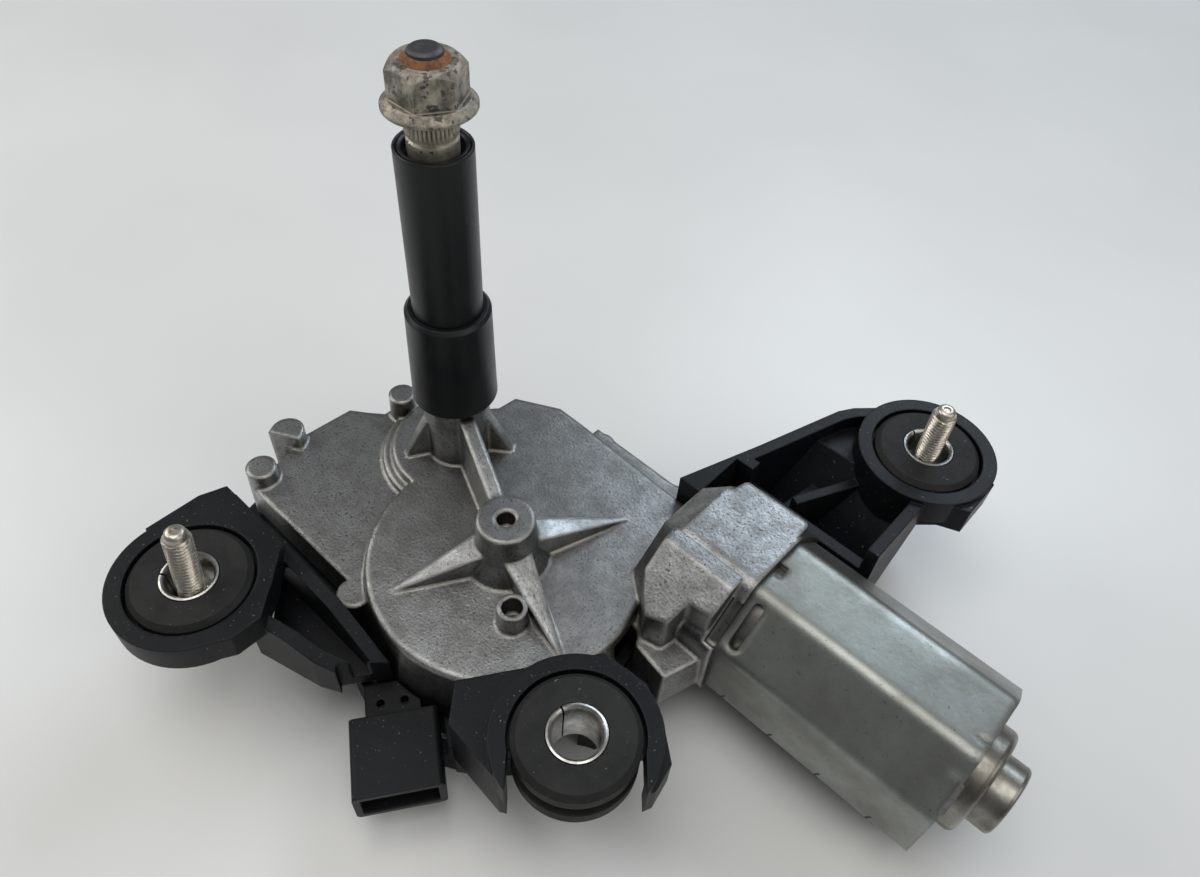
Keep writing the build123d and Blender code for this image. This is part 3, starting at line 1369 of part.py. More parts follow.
# Brush gear: holder plate with two guides, carbon brushes and the springs behind them
brush_x = commutator_start + commutator_length / 2
brush_start = commutator_radius + fit_gap
with BuildPart() as brush_holder:
    with BuildSketch(motor_plane(ring_start - hood_bore_depth)) as holder_face:
        Circle(can_radius - can_wall - 0.3)
        Circle(commutator_radius + 1.5, mode=Mode.SUBTRACT)
    extrude(amount=3)
    with BuildSketch(motor_plane(ring_start - hood_bore_depth + 3)) as guide_face:
        with PolarLocations(commutator_radius + 4.6, 2):
            Rectangle(6, brush_width + 3)
    extrude(amount=brush_x + brush_height / 2 + 1.5 - ring_start + hood_bore_depth - 3)
    with BuildSketch(motor_plane(brush_x - brush_height / 2 - 0.1)) as guide_hollow:
        Rectangle(60, brush_width + 0.2)
    extrude(amount=brush_height + 0.2, mode=Mode.SUBTRACT)
save(brush_holder, "brush_holder")

with BuildPart() as brushes:
    with BuildSketch(motor_plane(brush_x - brush_height / 2)) as brush_face:
        with PolarLocations(brush_start + brush_length / 2, 2):
            Rectangle(brush_length, brush_width)
    extrude(amount=brush_height)
save(brushes, "brushes")

with BuildPart() as brush_springs:
    with BuildSketch(motor_plane(brush_x - brush_height / 2 + 1)) as spring_face:
        with PolarLocations(brush_start + brush_length + 0.3, 2):
            Rectangle(0.6, brush_width - 0.4)
    extrude(amount=brush_height - 2)
save(brush_springs, "brush_springs")
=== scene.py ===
import bmesh
import bpy
from math import cos, radians, sin, tau
from mathutils import Matrix, Vector


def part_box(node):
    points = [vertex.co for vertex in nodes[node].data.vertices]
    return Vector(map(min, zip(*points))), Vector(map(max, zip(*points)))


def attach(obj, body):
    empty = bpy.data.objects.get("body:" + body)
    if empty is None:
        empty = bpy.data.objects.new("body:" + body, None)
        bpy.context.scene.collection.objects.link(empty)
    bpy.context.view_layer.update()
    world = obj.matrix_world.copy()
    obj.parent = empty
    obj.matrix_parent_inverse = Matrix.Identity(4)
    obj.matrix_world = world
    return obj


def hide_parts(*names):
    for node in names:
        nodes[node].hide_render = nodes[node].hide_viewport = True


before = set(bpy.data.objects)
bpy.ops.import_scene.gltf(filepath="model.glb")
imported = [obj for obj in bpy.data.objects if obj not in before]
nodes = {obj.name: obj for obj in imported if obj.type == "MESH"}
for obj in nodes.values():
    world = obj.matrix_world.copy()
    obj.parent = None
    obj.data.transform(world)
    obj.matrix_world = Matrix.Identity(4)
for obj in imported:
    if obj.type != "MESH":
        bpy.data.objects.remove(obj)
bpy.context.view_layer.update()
scene = bpy.context.scene
scene.view_settings.view_transform = "Standard"

# Camera: it looks at the motor from in front and above, two hands' breadths over the bench, through
# a fairly wide lens, so the near edges spread a little.
camera_place = (0.12285, -0.09461, 0.209)
camera_turn = (40.959, -3.256, 42.849)
camera_data = bpy.data.cameras.new("camera")
camera_data.sensor_width = 36.0
camera_data.lens = 27.423
camera_data.clip_start = 0.01
camera = bpy.data.objects.new("camera", camera_data)
camera.location = camera_place
camera.rotation_euler = [radians(angle) for angle in camera_turn]
scene.collection.objects.link(camera)
scene.camera = camera


# Light: a window to the left and a bluish one behind the bench, a weak fill from the right, a wide
# soft light overhead, and a dim grey room all round.
def window(name, place, target, width, height, power, colour):
    """An area light that looks at a target."""
    data = bpy.data.lights.new(name, "AREA")
    data.shape = "RECTANGLE"
    data.size = width
    data.size_y = height
    data.energy = power
    data.color = colour
    light = bpy.data.objects.new(name, data)
    light.location = place
    light.rotation_euler = (Vector(target) - Vector(place)).to_track_quat("-Z", "Y").to_euler()
    scene.collection.objects.link(light)


window("window_left", place=(-0.6, -0.3, 0.5), target=(0.04, 0, 0.03), width=0.6, height=0.35, power=2.3,
       colour=(1.0, 0.98, 0.94))
window("window_back", place=(-0.08, 0.85, 0.78), target=(0.05, 0, 0.03), width=0.7, height=0.35, power=4.3,
       colour=(0.76, 0.88, 1.0))
window("fill_right", place=(0.75, 0.1, 0.55), target=(0.05, 0, 0.03), width=0.6, height=0.5, power=1.6,
       colour=(1.0, 0.97, 0.92))
window("overhead", place=(0.02, -0.15, 1.1), target=(0.04, -0.02, 0), width=0.9, height=0.7, power=5.5,
       colour=(1.0, 0.98, 0.95))
room_colour = (0.8, 0.82, 0.84, 1)
room_strength = 0.22
room = bpy.data.worlds.new("room")
room.use_nodes = True
room_air = room.node_tree.nodes["Background"]
room_air.inputs["Color"].default_value = room_colour
room_air.inputs["Strength"].default_value = room_strength
scene.world = room

# Bench top: a board painted white, cool in tone and half glossy, that the motor lies on. The paint is
# a little cloudy.
bench_reach = 3.0
bench_drop = 0.0002
paint_dull = (0.66, 0.665, 0.66, 1)
paint_clean = (0.7, 0.705, 0.7, 1)
paint_roughness = 0.36
cloud_scale = 9
cloud_detail = 5
cloud_start = 0.3
cloud_full = 0.65
bench_mesh = bpy.data.meshes.new("bench_top")
bench_mesh.from_pydata(
    [(-bench_reach, -bench_reach, 0), (bench_reach, -bench_reach, 0), (bench_reach, bench_reach, 0),
     (-bench_reach, bench_reach, 0)],
    [],
    [(0, 1, 2, 3)],
)
bench_top = bpy.data.objects.new("bench_top", bench_mesh)
bench_top.location.z = -bench_drop
scene.collection.objects.link(bench_top)
bench_paint = bpy.data.materials.new("bench_paint")
bench_paint.use_nodes = True
bench_tree = bench_paint.node_tree
bench_shader = bench_tree.nodes["Principled BSDF"]
bench_shader.inputs["Roughness"].default_value = paint_roughness
bench_place = bench_tree.nodes.new("ShaderNodeTexCoord")
bench_cloud = bench_tree.nodes.new("ShaderNodeTexNoise")
bench_cloud.inputs["Scale"].default_value = cloud_scale
bench_cloud.inputs["Detail"].default_value = cloud_detail
bench_ramp = bench_tree.nodes.new("ShaderNodeValToRGB")
dull_stop, clean_stop = bench_ramp.color_ramp.elements
dull_stop.position = cloud_start
dull_stop.color = paint_dull
clean_stop.position = cloud_full
clean_stop.color = paint_clean
bench_tree.links.new(bench_place.outputs["Object"], bench_cloud.inputs["Vector"])
bench_tree.links.new(bench_cloud.outputs["Fac"], bench_ramp.inputs["Fac"])
bench_tree.links.new(bench_ramp.outputs["Color"], bench_shader.inputs["Base Color"])
bench_mesh.materials.append(bench_paint)


# Gear housing: an aluminium die casting, shot blasted, so its skin is finely pitted and its corners
# are rounded. Oil and road dirt have stained it grey and brown. Its edges are worn bright by rubbing
# and carry a painted highlight, and its crevices are darkened with painted shade and dirt.
def surface_with_wear_and_painted_light(name, colour, stain, stain_scale, stain_level, roughness, metallic, grain_scale,
                 grain_height, corner=0.0, edge=None, edge_share=0.6, fleck=None, fleck_scale=1800,
                 fleck_level=0.66, gloss=0.5, zone=None, crevice_shade_and_dirt=None):
    """Finish with slow stains, a fine grain, rounded corners, edges worn bright by rubbing and painted with a
    highlight, crevices darkened with painted shade and dirt, and small flecks.

    Zone, where it is given, is a colour and the two heights between which it takes over. Crevice is
    a colour of painted shade and dirt, laid where ambient occlusion finds the surface sheltered, and how
    far from a wall it lies. Edge, a colour of rubbing wear and painted highlight, needs a corner.
    """
    stain_fade_in = 0.1
    stain_fade_out = 0.14
    fleck_fade = 0.03
    sheltered = 0.3
    open_air = 0.82
    crevice_share = 0.85
    grain_strength = 0.6
    thin_cloud = 0.3
    thick_cloud = 0.7
    flat_spot = 0.995
    sharp_bend = 0.8
    duller = 0.07
    glossier = 0.05
    ray_samples = 6
    material = bpy.data.materials.new(name)
    material.use_nodes = True
    tree = material.node_tree
    link = tree.links.new
    shader = tree.nodes["Principled BSDF"]
    shader.inputs["Metallic"].default_value = metallic
    shader.inputs["Specular IOR Level"].default_value = gloss
    place = tree.nodes.new("ShaderNodeTexCoord")

    def noise(scale, detail, rough=0.6):
        field = tree.nodes.new("ShaderNodeTexNoise")
        field.inputs["Scale"].default_value = scale
        field.inputs["Detail"].default_value = detail
        field.inputs["Roughness"].default_value = rough
        link(place.outputs["Object"], field.inputs["Vector"])
        return field.outputs["Fac"]

    def mix(factor, first, second):
        colour_a, colour_b, mixed_colour = 6, 7, 2
        blend = tree.nodes.new("ShaderNodeMix")
        blend.data_type = "RGBA"
        link(factor, blend.inputs["Factor"])
        for socket, value in ((blend.inputs[colour_a], first), (blend.inputs[colour_b], second)):
            if isinstance(value, tuple):
                socket.default_value = (*value, 1)
            else:
                link(value, socket)
        return blend.outputs[mixed_colour]

    def span(value, low, high, to_low=0.0, to_high=1.0):
        scaled = tree.nodes.new("ShaderNodeMapRange")
        scaled.inputs["From Min"].default_value = low
        scaled.inputs["From Max"].default_value = high
        scaled.inputs["To Min"].default_value = to_low
        scaled.inputs["To Max"].default_value = to_high
        link(value, scaled.inputs["Value"])
        return scaled.outputs["Result"]

    cloud = noise(stain_scale, detail=7, rough=0.68)
    stained = span(cloud, stain_level - stain_fade_in, stain_level + stain_fade_out)
    paint = mix(stained, stain, colour)
    if fleck:
        flecked = span(noise(fleck_scale, detail=2), fleck_level, fleck_level + fleck_fade)
        paint = mix(flecked, paint, fleck)
    if zone:
        zone_colour, zone_start, zone_full = zone
        heights = tree.nodes.new("ShaderNodeSeparateXYZ")
        link(place.outputs["Object"], heights.inputs[0])
        paint = mix(span(heights.outputs["Z"], zone_start, zone_full), paint, zone_colour)
    # Painted shade and dirt: the colour darkens where ambient occlusion finds the surface sheltered by walls
    # near it.
    if crevice_shade_and_dirt:
        crevice_shade_colour, crevice_reach = crevice_shade_and_dirt
        shelter = tree.nodes.new("ShaderNodeAmbientOcclusion")
        shelter.samples = ray_samples
        shelter.inputs["Distance"].default_value = crevice_reach
        shade_and_dirt_mask = span(shelter.outputs["AO"], open_air, sheltered, 0.0, crevice_share)
        paint = mix(shade_and_dirt_mask, paint, crevice_shade_colour)
    bump = tree.nodes.new("ShaderNodeBump")
    bump.inputs["Strength"].default_value = grain_strength
    bump.inputs["Distance"].default_value = grain_height
    link(noise(grain_scale, detail=4), bump.inputs["Height"])
    if corner:
        rounding = tree.nodes.new("ShaderNodeBevel")
        rounding.samples = ray_samples
        rounding.inputs["Radius"].default_value = corner
        link(rounding.outputs["Normal"], bump.inputs["Normal"])
        # Edge wear and painted highlight: the colour lightens where the rounded normal bends away from the
        # flat one.
        if edge:
            flat = tree.nodes.new("ShaderNodeNewGeometry")
            bend = tree.nodes.new("ShaderNodeVectorMath")
            bend.operation = "DOT_PRODUCT"
            link(rounding.outputs["Normal"], bend.inputs[0])
            link(flat.outputs["Normal"], bend.inputs[1])
            rubbed_and_highlit = span(bend.outputs["Value"], flat_spot, sharp_bend, 0.0, edge_share)
            paint = mix(rubbed_and_highlit, paint, edge)
    link(paint, shader.inputs["Base Color"])
    sheen = span(cloud, thin_cloud, thick_cloud, roughness + duller, roughness - glossier)
    link(sheen, shader.inputs["Roughness"])
    link(bump.outputs["Normal"], shader.inputs["Normal"])
    return material


def dress(material, *names):
    """Give CAD nodes a finish."""
    for name in names:
        mesh = nodes[name].data
        mesh.materials.clear()
        mesh.materials.append(material)


# The casting's edges are painted lighter, as rubbing wear and a painted highlight, and its crevices are
# darkened with painted shade and dirt.
cast_aluminium = surface_with_wear_and_painted_light(
    "cast_aluminium", colour=(0.33, 0.335, 0.335), stain=(0.2, 0.2, 0.195), stain_scale=190, stain_level=0.5,
    roughness=0.32, metallic=0.95, grain_scale=1500, grain_height=0.00014, corner=0.0016,
    edge=(0.62, 0.6, 0.54), edge_share=0.52, fleck=(0.1, 0.1, 0.1), fleck_scale=1700, fleck_level=0.61,
    crevice_shade_and_dirt=((0.07, 0.065, 0.055), 0.007))
dress(cast_aluminium, "gear_housing")

# Gear cover: a black moulded tray under the gearbox, glass filled, clamped by the five screws that also
# hold the bracket. It has a fine spark texture and a dull sheen.
# The moulding's edges are painted a little lighter, as handling wear and a painted highlight.
black_moulding = surface_with_wear_and_painted_light(
    "black_moulding", colour=(0.0055, 0.0065, 0.0085), stain=(0.009, 0.0095, 0.0105), stain_scale=60,
    stain_level=0.42, roughness=0.4, metallic=0.0, grain_scale=2600, grain_height=0.00008, corner=0.0006,
    edge=(0.022, 0.022, 0.024), edge_share=0.8, fleck=(0.22, 0.22, 0.21), fleck_scale=1900, fleck_level=0.71,
    gloss=0.17)
dress(black_moulding, "gear_cover")

# Mounting bracket: one black moulding with a frame round the gearbox and three arms. Its edges are
# a little lighter, from handling wear and a painted highlight, and fine dust lies on it.
dress(black_moulding, "mounting_bracket")

# Grommets and shaft seal: black rubber, matt and dusty, greyer than the moulding. The grommets sit in
# the bracket's three seats, and the seal lies round the spindle in the mouth of the sleeve.
# The rubber's edges are painted a little lighter, as rubbing wear and a painted highlight.
black_rubber = surface_with_wear_and_painted_light(
    "black_rubber", colour=(0.02, 0.02, 0.0195), stain=(0.013, 0.013, 0.013), stain_scale=120,
    stain_level=0.45, roughness=0.62, metallic=0.0, grain_scale=1600, grain_height=0.00012, corner=0.0004,
    edge=(0.045, 0.045, 0.043), edge_share=0.5, fleck=(0.16, 0.155, 0.15), fleck_scale=1700, fleck_level=0.72,
    gloss=0.2)
dress(black_rubber, "left_grommet", "front_grommet", "right_grommet", "shaft_seal")

# Bushes: steel strip rolled into a split ring and zinc plated, one in each grommet. The foot is
# chamfered, and the lip is bright and rounded over.
# Hollows on the zinc are darkened with painted shade and dirt.
bright_zinc = surface_with_wear_and_painted_light(
    "bright_zinc", colour=(0.56, 0.56, 0.54), stain=(0.3, 0.29, 0.27), stain_scale=260, stain_level=0.48,
    roughness=0.3, metallic=1.0, grain_scale=2400, grain_height=0.00006, crevice_shade_and_dirt=((0.12, 0.115, 0.1), 0.003))
weld_distance = 0.000001


def finished(name, form, surface, body, slot, *stands_for, smooth=40):
    """Make the final piece of a bmesh, closed and with outward normals, and give it to the frame."""
    bmesh.ops.remove_doubles(form, verts=form.verts, dist=weld_distance)
    bmesh.ops.holes_fill(form, edges=[edge for edge in form.edges if edge.is_boundary])
    bmesh.ops.recalc_face_normals(form, faces=form.faces)
    mesh = bpy.data.meshes.new(name)
    form.to_mesh(mesh)
    form.free()
    mesh.materials.clear()
    mesh.materials.append(surface)
    mesh.shade_smooth()
    piece = bpy.data.objects.new(name, mesh)
    scene.collection.objects.link(piece)
    mesh.set_sharp_from_angle(angle=radians(smooth))
    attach(piece, body)
    if stands_for:
        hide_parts(*stands_for)


bush_bore = 0.005
bush_outside = 0.0063
bush_chamfer = 0.0003
lip_roll = 0.0005
lip_shoulder = 0.0002
lip_crown = 0.0006
lip_mouth = 0.0008
bush_gap = 4.0
bush_steps = 72
left_bush_centre = (-0.0054, -0.0704)
front_bush_centre = (0.0774, -0.0379)
right_bush_centre = (0.0893, 0.0773)
left_split = 222.0
front_split = 165.0
right_split = 160.0
for side, centre, split in (("left", left_bush_centre, left_split), ("front", front_bush_centre, front_split),
                            ("right", right_bush_centre, right_split)):
    bush_low, bush_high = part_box(f"{side}_bush")
    foot, lip = bush_low[2], bush_high[2]
    section = (
        (bush_bore, foot + bush_chamfer), (bush_bore + bush_chamfer, foot),
        (bush_outside - bush_chamfer, foot), (bush_outside, foot + bush_chamfer),
        (bush_outside, lip - lip_roll), (bush_outside - lip_shoulder, lip - lip_shoulder / 2),
        (bush_outside - lip_crown, lip), (bush_bore + bush_chamfer, lip - bush_chamfer),
        (bush_bore, lip - lip_mouth),
    )
    roll = bmesh.new()
    rings = []
    for step in range(bush_steps + 1):
        angle = radians(split + bush_gap / 2 + (360 - bush_gap) * step / bush_steps)
        rings.append([
            roll.verts.new((centre[0] + radius * cos(angle), centre[1] + radius * sin(angle), height))
            for radius, height in section
        ])
    for before, after in zip(rings, rings[1:]):
        for point in range(len(section)):
            beside = (point + 1) % len(section)
            roll.faces.new((before[point], before[beside], after[beside], after[point]))
    roll.faces.new(rings[0])
    roll.faces.new(rings[-1])
    finished(f"{side}_split_bush", roll, bright_zinc, "gearbox", "zinc_steel", f"{side}_bush")


# Mounting bolts: flanged M6 steel bolts pushed up through the left and the right bush, their heads
# below the grommet. The rolled thread is zinc plated and has dulled to a warm grey, and its grooves
# are darkened with painted shade and dirt.
def ridged_tube_tree():
    """Geometry nodes for a tube with ridges: a screw thread with a pitch, or straight serrations."""
    seam_weld = 0.000002
    tree = bpy.data.node_groups.new("ridged_tube", "GeometryNodeTree")
    panel = tree.interface
    for label, kind, value in (
        ("Root Radius", "NodeSocketFloat", 0.0025),
        ("Ridge Height", "NodeSocketFloat", 0.0006),
        ("Length", "NodeSocketFloat", 0.01),
        ("Turns", "NodeSocketFloat", 10.0),
        ("Ridges Around", "NodeSocketFloat", 1.0),
        ("Run Out", "NodeSocketFloat", 0.0008),
        ("Steps Around", "NodeSocketInt", 32),
        ("Steps Along", "NodeSocketInt", 80),
        ("Surface", "NodeSocketMaterial", None),
    ):
        socket = panel.new_socket(name=label, in_out="INPUT", socket_type=kind)
        if value is not None:
            socket.default_value = value
    panel.new_socket(name="Tube", in_out="OUTPUT", socket_type="NodeSocketGeometry")
    given = tree.nodes.new("NodeGroupInput").outputs
    result = tree.nodes.new("NodeGroupOutput")
    link = tree.links.new

    def maths(operation, first, second=None):
        node = tree.nodes.new("ShaderNodeMath")
        node.operation = operation
        for socket, value in zip(node.inputs, (first, second)):
            if value is None:
                continue
            if isinstance(value, (int, float)):
                socket.default_value = value
            else:
                link(value, socket)
        return node.outputs[0]

    sheet = tree.nodes.new("GeometryNodeMeshGrid")
    sheet.inputs["Size X"].default_value = 1
    sheet.inputs["Size Y"].default_value = 1
    link(given["Steps Around"], sheet.inputs["Vertices X"])
    link(given["Steps Along"], sheet.inputs["Vertices Y"])
    spot = tree.nodes.new("GeometryNodeInputPosition")
    parts = tree.nodes.new("ShaderNodeSeparateXYZ")
    link(spot.outputs[0], parts.inputs[0])
    around = maths("ADD", parts.outputs["X"], 0.5)
    along = maths("ADD", parts.outputs["Y"], 0.5)
    height = maths("MULTIPLY", along, given["Length"])
    ridge_turns = maths("MULTIPLY", along, given["Turns"])
    ridge_starts = maths("MULTIPLY", around, given["Ridges Around"])
    phase = maths("FRACT", maths("ADD", ridge_turns, ridge_starts))
    off_crest = maths("ABSOLUTE", maths("SUBTRACT", maths("MULTIPLY", phase, 2), 1))
    ridge = maths("SUBTRACT", 1, off_crest)
    near_end = maths("MINIMUM", along, maths("SUBTRACT", 1, along))
    end_distance = maths("MULTIPLY", near_end, given["Length"])
    fade = maths("MINIMUM", 1, maths("DIVIDE", end_distance, given["Run Out"]))
    lift = maths("MULTIPLY", maths("MULTIPLY", ridge, fade), given["Ridge Height"])
    radius = maths("ADD", given["Root Radius"], lift)
    turn = maths("MULTIPLY", around, -tau)
    joined = tree.nodes.new("ShaderNodeCombineXYZ")
    link(maths("MULTIPLY", radius, maths("COSINE", turn)), joined.inputs["X"])
    link(maths("MULTIPLY", radius, maths("SINE", turn)), joined.inputs["Y"])
    link(height, joined.inputs["Z"])
    wrap = tree.nodes.new("GeometryNodeSetPosition")
    link(sheet.outputs["Mesh"], wrap.inputs["Geometry"])
    link(joined.outputs[0], wrap.inputs["Position"])
    weld = tree.nodes.new("GeometryNodeMergeByDistance")
    weld.inputs["Distance"].default_value = seam_weld
    link(wrap.outputs[0], weld.inputs["Geometry"])
    real = tree.nodes.new("GeometryNodeRealizeInstances")
    link(weld.outputs[0], real.inputs[0])
    coat = tree.nodes.new("GeometryNodeSetMaterial")
    link(real.outputs[0], coat.inputs["Geometry"])
    link(given["Surface"], coat.inputs["Material"])
    link(coat.outputs[0], result.inputs[0])
    return tree


ridged_tube = ridged_tube_tree()


def ridged_mesh(name, surface, **values):
    """Plain mesh of a ridged tube that stands on the origin along Z."""
    blank = bpy.data.objects.new(name, bpy.data.meshes.new(name))
    scene.collection.objects.link(blank)
    growth = blank.modifiers.new("ridges", "NODES")
    growth.node_group = ridged_tube
    sockets = {item.name: item.identifier for item in ridged_tube.interface.items_tree
               if item.in_out == "INPUT"}
    growth[sockets["Surface"]] = surface
    for label, value in values.items():
        growth[sockets[label.replace("_", " ").title()]] = value
    depsgraph = bpy.context.evaluated_depsgraph_get()
    mesh = bpy.data.meshes.new_from_object(blank.evaluated_get(depsgraph))
    bpy.data.objects.remove(blank)
    return mesh


def turned(form, profile, steps=48):
    """Add a closed turned form, from (radius, height) pairs, to a bmesh."""
    on_axis = 1e-7
    rings = []
    for radius, height in profile:
        if radius < on_axis:
            rings.append([form.verts.new((0, 0, height))])
        else:
            angles = [tau * step / steps for step in range(steps)]
            rings.append([form.verts.new((radius * cos(angle), radius * sin(angle), height))
                          for angle in angles])
    for low, high in zip(rings, rings[1:]):
        for step in range(steps):
            after = (step + 1) % steps
            if len(low) == 1:
                form.faces.new((low[0], high[after], high[step]))
            elif len(high) == 1:
                form.faces.new((low[step], low[after], high[0]))
            else:
                form.faces.new((low[step], low[after], high[after], high[step]))


# The grooves and hollows of the zinc are darkened with painted shade and dirt.
dull_zinc = surface_with_wear_and_painted_light(
    "dull_zinc", colour=(0.58, 0.54, 0.46), stain=(0.44, 0.41, 0.35), stain_scale=900, stain_level=0.48,
    roughness=0.34, metallic=1.0, grain_scale=2600, grain_height=0.00004,
    crevice_shade_and_dirt=((0.07, 0.062, 0.05), 0.0009))
bolt_radius = 0.003
bolt_pitch = 0.001
bolt_thread_height = 0.0006
bolt_thread_sink = 0.00003
bolt_thread_start = -0.004
bolt_thread_taper = 0.0004
bolt_run_out = 0.0008
bolt_steps_around = 33
bolt_steps_a_pitch = 8
bolt_top = 0.0185
bolt_point = 0.0014
point_shoulder = (0.00025, 0.0005)
point_chamfer = 0.0008
dimple_mouth = 0.0009
dimple_floor = 0.0007
dimple_depth = 0.0003
shank_radius = 0.0027
bolt_foot = -0.0181
flange_radius = 0.007
flange_draft = 0.0001
flange_height = 0.001
head_radius = 0.0055
head_height = 0.003
head_overlap = 0.0001
head_chamfer = (0.0009, 0.0005)
thread_end = bolt_top - bolt_point
thread_length = thread_end - bolt_thread_start
thread_turns = thread_length / bolt_pitch
root = bolt_radius - bolt_thread_height - bolt_thread_sink
flange_bottom = bolt_foot - flange_height
head_top = flange_bottom + head_overlap
head_bottom = head_top - head_height
left_bolt_place = (-0.0051, -0.071, 0.036)
right_bolt_place = (0.0896, 0.0774, 0.036)
left_bolt_lean = 6.0
right_bolt_lean = -5.0
for side, place, lean in (("left", left_bolt_place, left_bolt_lean),
                          ("right", right_bolt_place, right_bolt_lean)):
    bolt_turn = Matrix.Translation(place) @ Matrix.Rotation(radians(-lean), 4, "X")
    thread = ridged_mesh(f"{side}_thread", dull_zinc, root_radius=bolt_radius - bolt_thread_height,
                         ridge_height=bolt_thread_height, length=thread_length, turns=thread_turns,
                         ridges_around=1.0, run_out=bolt_run_out, steps_around=bolt_steps_around,
                         steps_along=int(thread_turns * bolt_steps_a_pitch))
    thread.transform(Matrix.Translation((0, 0, bolt_thread_start)))
    bolt = bmesh.new()
    bolt.from_mesh(thread)
    bpy.data.meshes.remove(thread)
    turned(bolt, [
        (0, flange_bottom), (flange_radius - flange_draft, flange_bottom),
        (flange_radius, bolt_foot), (shank_radius, bolt_foot),
        (shank_radius, bolt_thread_start - bolt_thread_taper), (root, bolt_thread_start),
        (root, thread_end), (root - point_shoulder[0], bolt_top - point_shoulder[1]),
        (root - point_chamfer, bolt_top), (dimple_mouth, bolt_top),
        (dimple_floor, bolt_top - dimple_depth), (0, bolt_top - dimple_depth),
    ])
    turned(bolt, [
        (0, head_bottom), (head_radius - head_chamfer[0], head_bottom),
        (head_radius, head_bottom + head_chamfer[1]), (head_radius, head_top), (0, head_top),
    ], steps=6)
    bmesh.ops.transform(bolt, matrix=bolt_turn, verts=bolt.verts)
    finished(f"{side}_bolt", bolt, dull_zinc, "gearbox", "zinc_steel", f"{side}_stud", smooth=50)

# Connector: a black moulded socket that stands out under the gearbox, with blades of tinned brass
# inside. Its cable plug isn't fitted.
dress(black_moulding, "connector_shell")
tinned_brass = surface_with_wear_and_painted_light(
    "tinned_brass", colour=(0.7, 0.66, 0.56), stain=(0.5, 0.42, 0.28), stain_scale=400, stain_level=0.5,
    roughness=0.3, metallic=1.0, grain_scale=2600, grain_height=0.00003)
dress(tinned_brass, "connector_terminals")

# Cover screws: five steel screws, zinc plated. They are driven from below through the cover and the
# bracket into the casting.
dress(dull_zinc, "cover_screws")

# Spindle sleeve and tower collar: two smooth black acetal tubes, moulded and pushed over the cast
# tower. The collar is short and sits round the sleeve's foot.
# The acetal's edges are painted a little lighter, as rubbing wear and a painted highlight.
sleeve_black = surface_with_wear_and_painted_light(
    "sleeve_black", colour=(0.005, 0.006, 0.0075), stain=(0.008, 0.0085, 0.009), stain_scale=90,
    stain_level=0.45, roughness=0.36, metallic=0.0, grain_scale=1800, grain_height=0.00004, corner=0.0003,
    edge=(0.03, 0.03, 0.031), edge_share=0.6, fleck=(0.25, 0.24, 0.23), fleck_scale=2600, fleck_level=0.8,
    gloss=0.3)
dress(sleeve_black, "spindle_sleeve", "tower_collar")

# Sleeve lip: the sleeve is drawn in at its top to the width of the shaft seal, with a rounded rim.
# It is the same black acetal and one moulding with the sleeve.
rim_bore = 0.0059
rim_depth = 0.0018
rim_profile = ((rim_bore, rim_depth), (0.0069, rim_depth), (0.007, 0.0004), (0.0068, 0.00005),
               (0.0062, 0.0002), (rim_bore, 0.0006), (rim_bore, rim_depth))
rim_steps = 64
rim_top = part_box("spindle_sleeve")[1][2]
rim = bmesh.new()
turned(rim, [(radius, rim_top - depth) for radius, depth in rim_profile], steps=rim_steps)
finished("sleeve_lip", rim, sleeve_black, "gearbox", "black_plastic")

# Wiper spindle: a ground steel shaft with a rolled knurl for the wiper arm and an M8 thread under the
# nut. Its free end has darkened and lost its plating.
# The knurl's grooves and the steel's hollows are darkened with painted shade and dirt.
old_steel = surface_with_wear_and_painted_light(
    "old_steel", colour=(0.52, 0.48, 0.4), stain=(0.3, 0.275, 0.22), stain_scale=500, stain_level=0.47,
    roughness=0.45, metallic=0.7, grain_scale=2200, grain_height=0.0001, fleck=(0.1, 0.09, 0.08),
    fleck_scale=700, fleck_level=0.64, crevice_shade_and_dirt=((0.04, 0.035, 0.03), 0.0006),
    zone=((0.07, 0.07, 0.072), 0.1318, 0.1322))
spindle_low, spindle_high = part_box("wiper_spindle")
spindle_foot = spindle_low[2]
spindle_end = spindle_high[2]
spindle_radius = 0.005
spindle_chamfer = 0.0003
spindle_steps = 64
knurl_radius = 0.0052
knurl_top = 0.1224
knurl_length = 0.005
knurl_height = 0.0005
knurl_sink = 0.00002
knurl_ridges = 36
knurl_steps_a_ridge = 6
knurl_steps_along = 9
knurl_run_out = 0.0004
neck_radius = 0.0046
neck_start = 0.0008
neck_end = 0.0004
thread_root = 0.0039
thread_step = 0.0003
end_profile = ((0.0039, 0.0024), (0.0035, 0.0018), (0.0033, 0.0013), (0.0032, 0.0006), (0.0027, 0.0002),
               (0.0018, 0.0001), (0.0013, 0.0003), (0, 0.0003))
knurl_foot = knurl_top - knurl_length
knurl = ridged_mesh("spindle_knurl", old_steel, root_radius=knurl_radius - knurl_height,
                    ridge_height=knurl_height, length=knurl_length, turns=0.0,
                    ridges_around=float(knurl_ridges), run_out=knurl_run_out,
                    steps_around=knurl_ridges * knurl_steps_a_ridge + 1, steps_along=knurl_steps_along)
knurl.transform(Matrix.Translation((0, 0, knurl_foot)))
spindle = bmesh.new()
spindle.from_mesh(knurl)
bpy.data.meshes.remove(knurl)
knurl_root = knurl_radius - knurl_height - knurl_sink
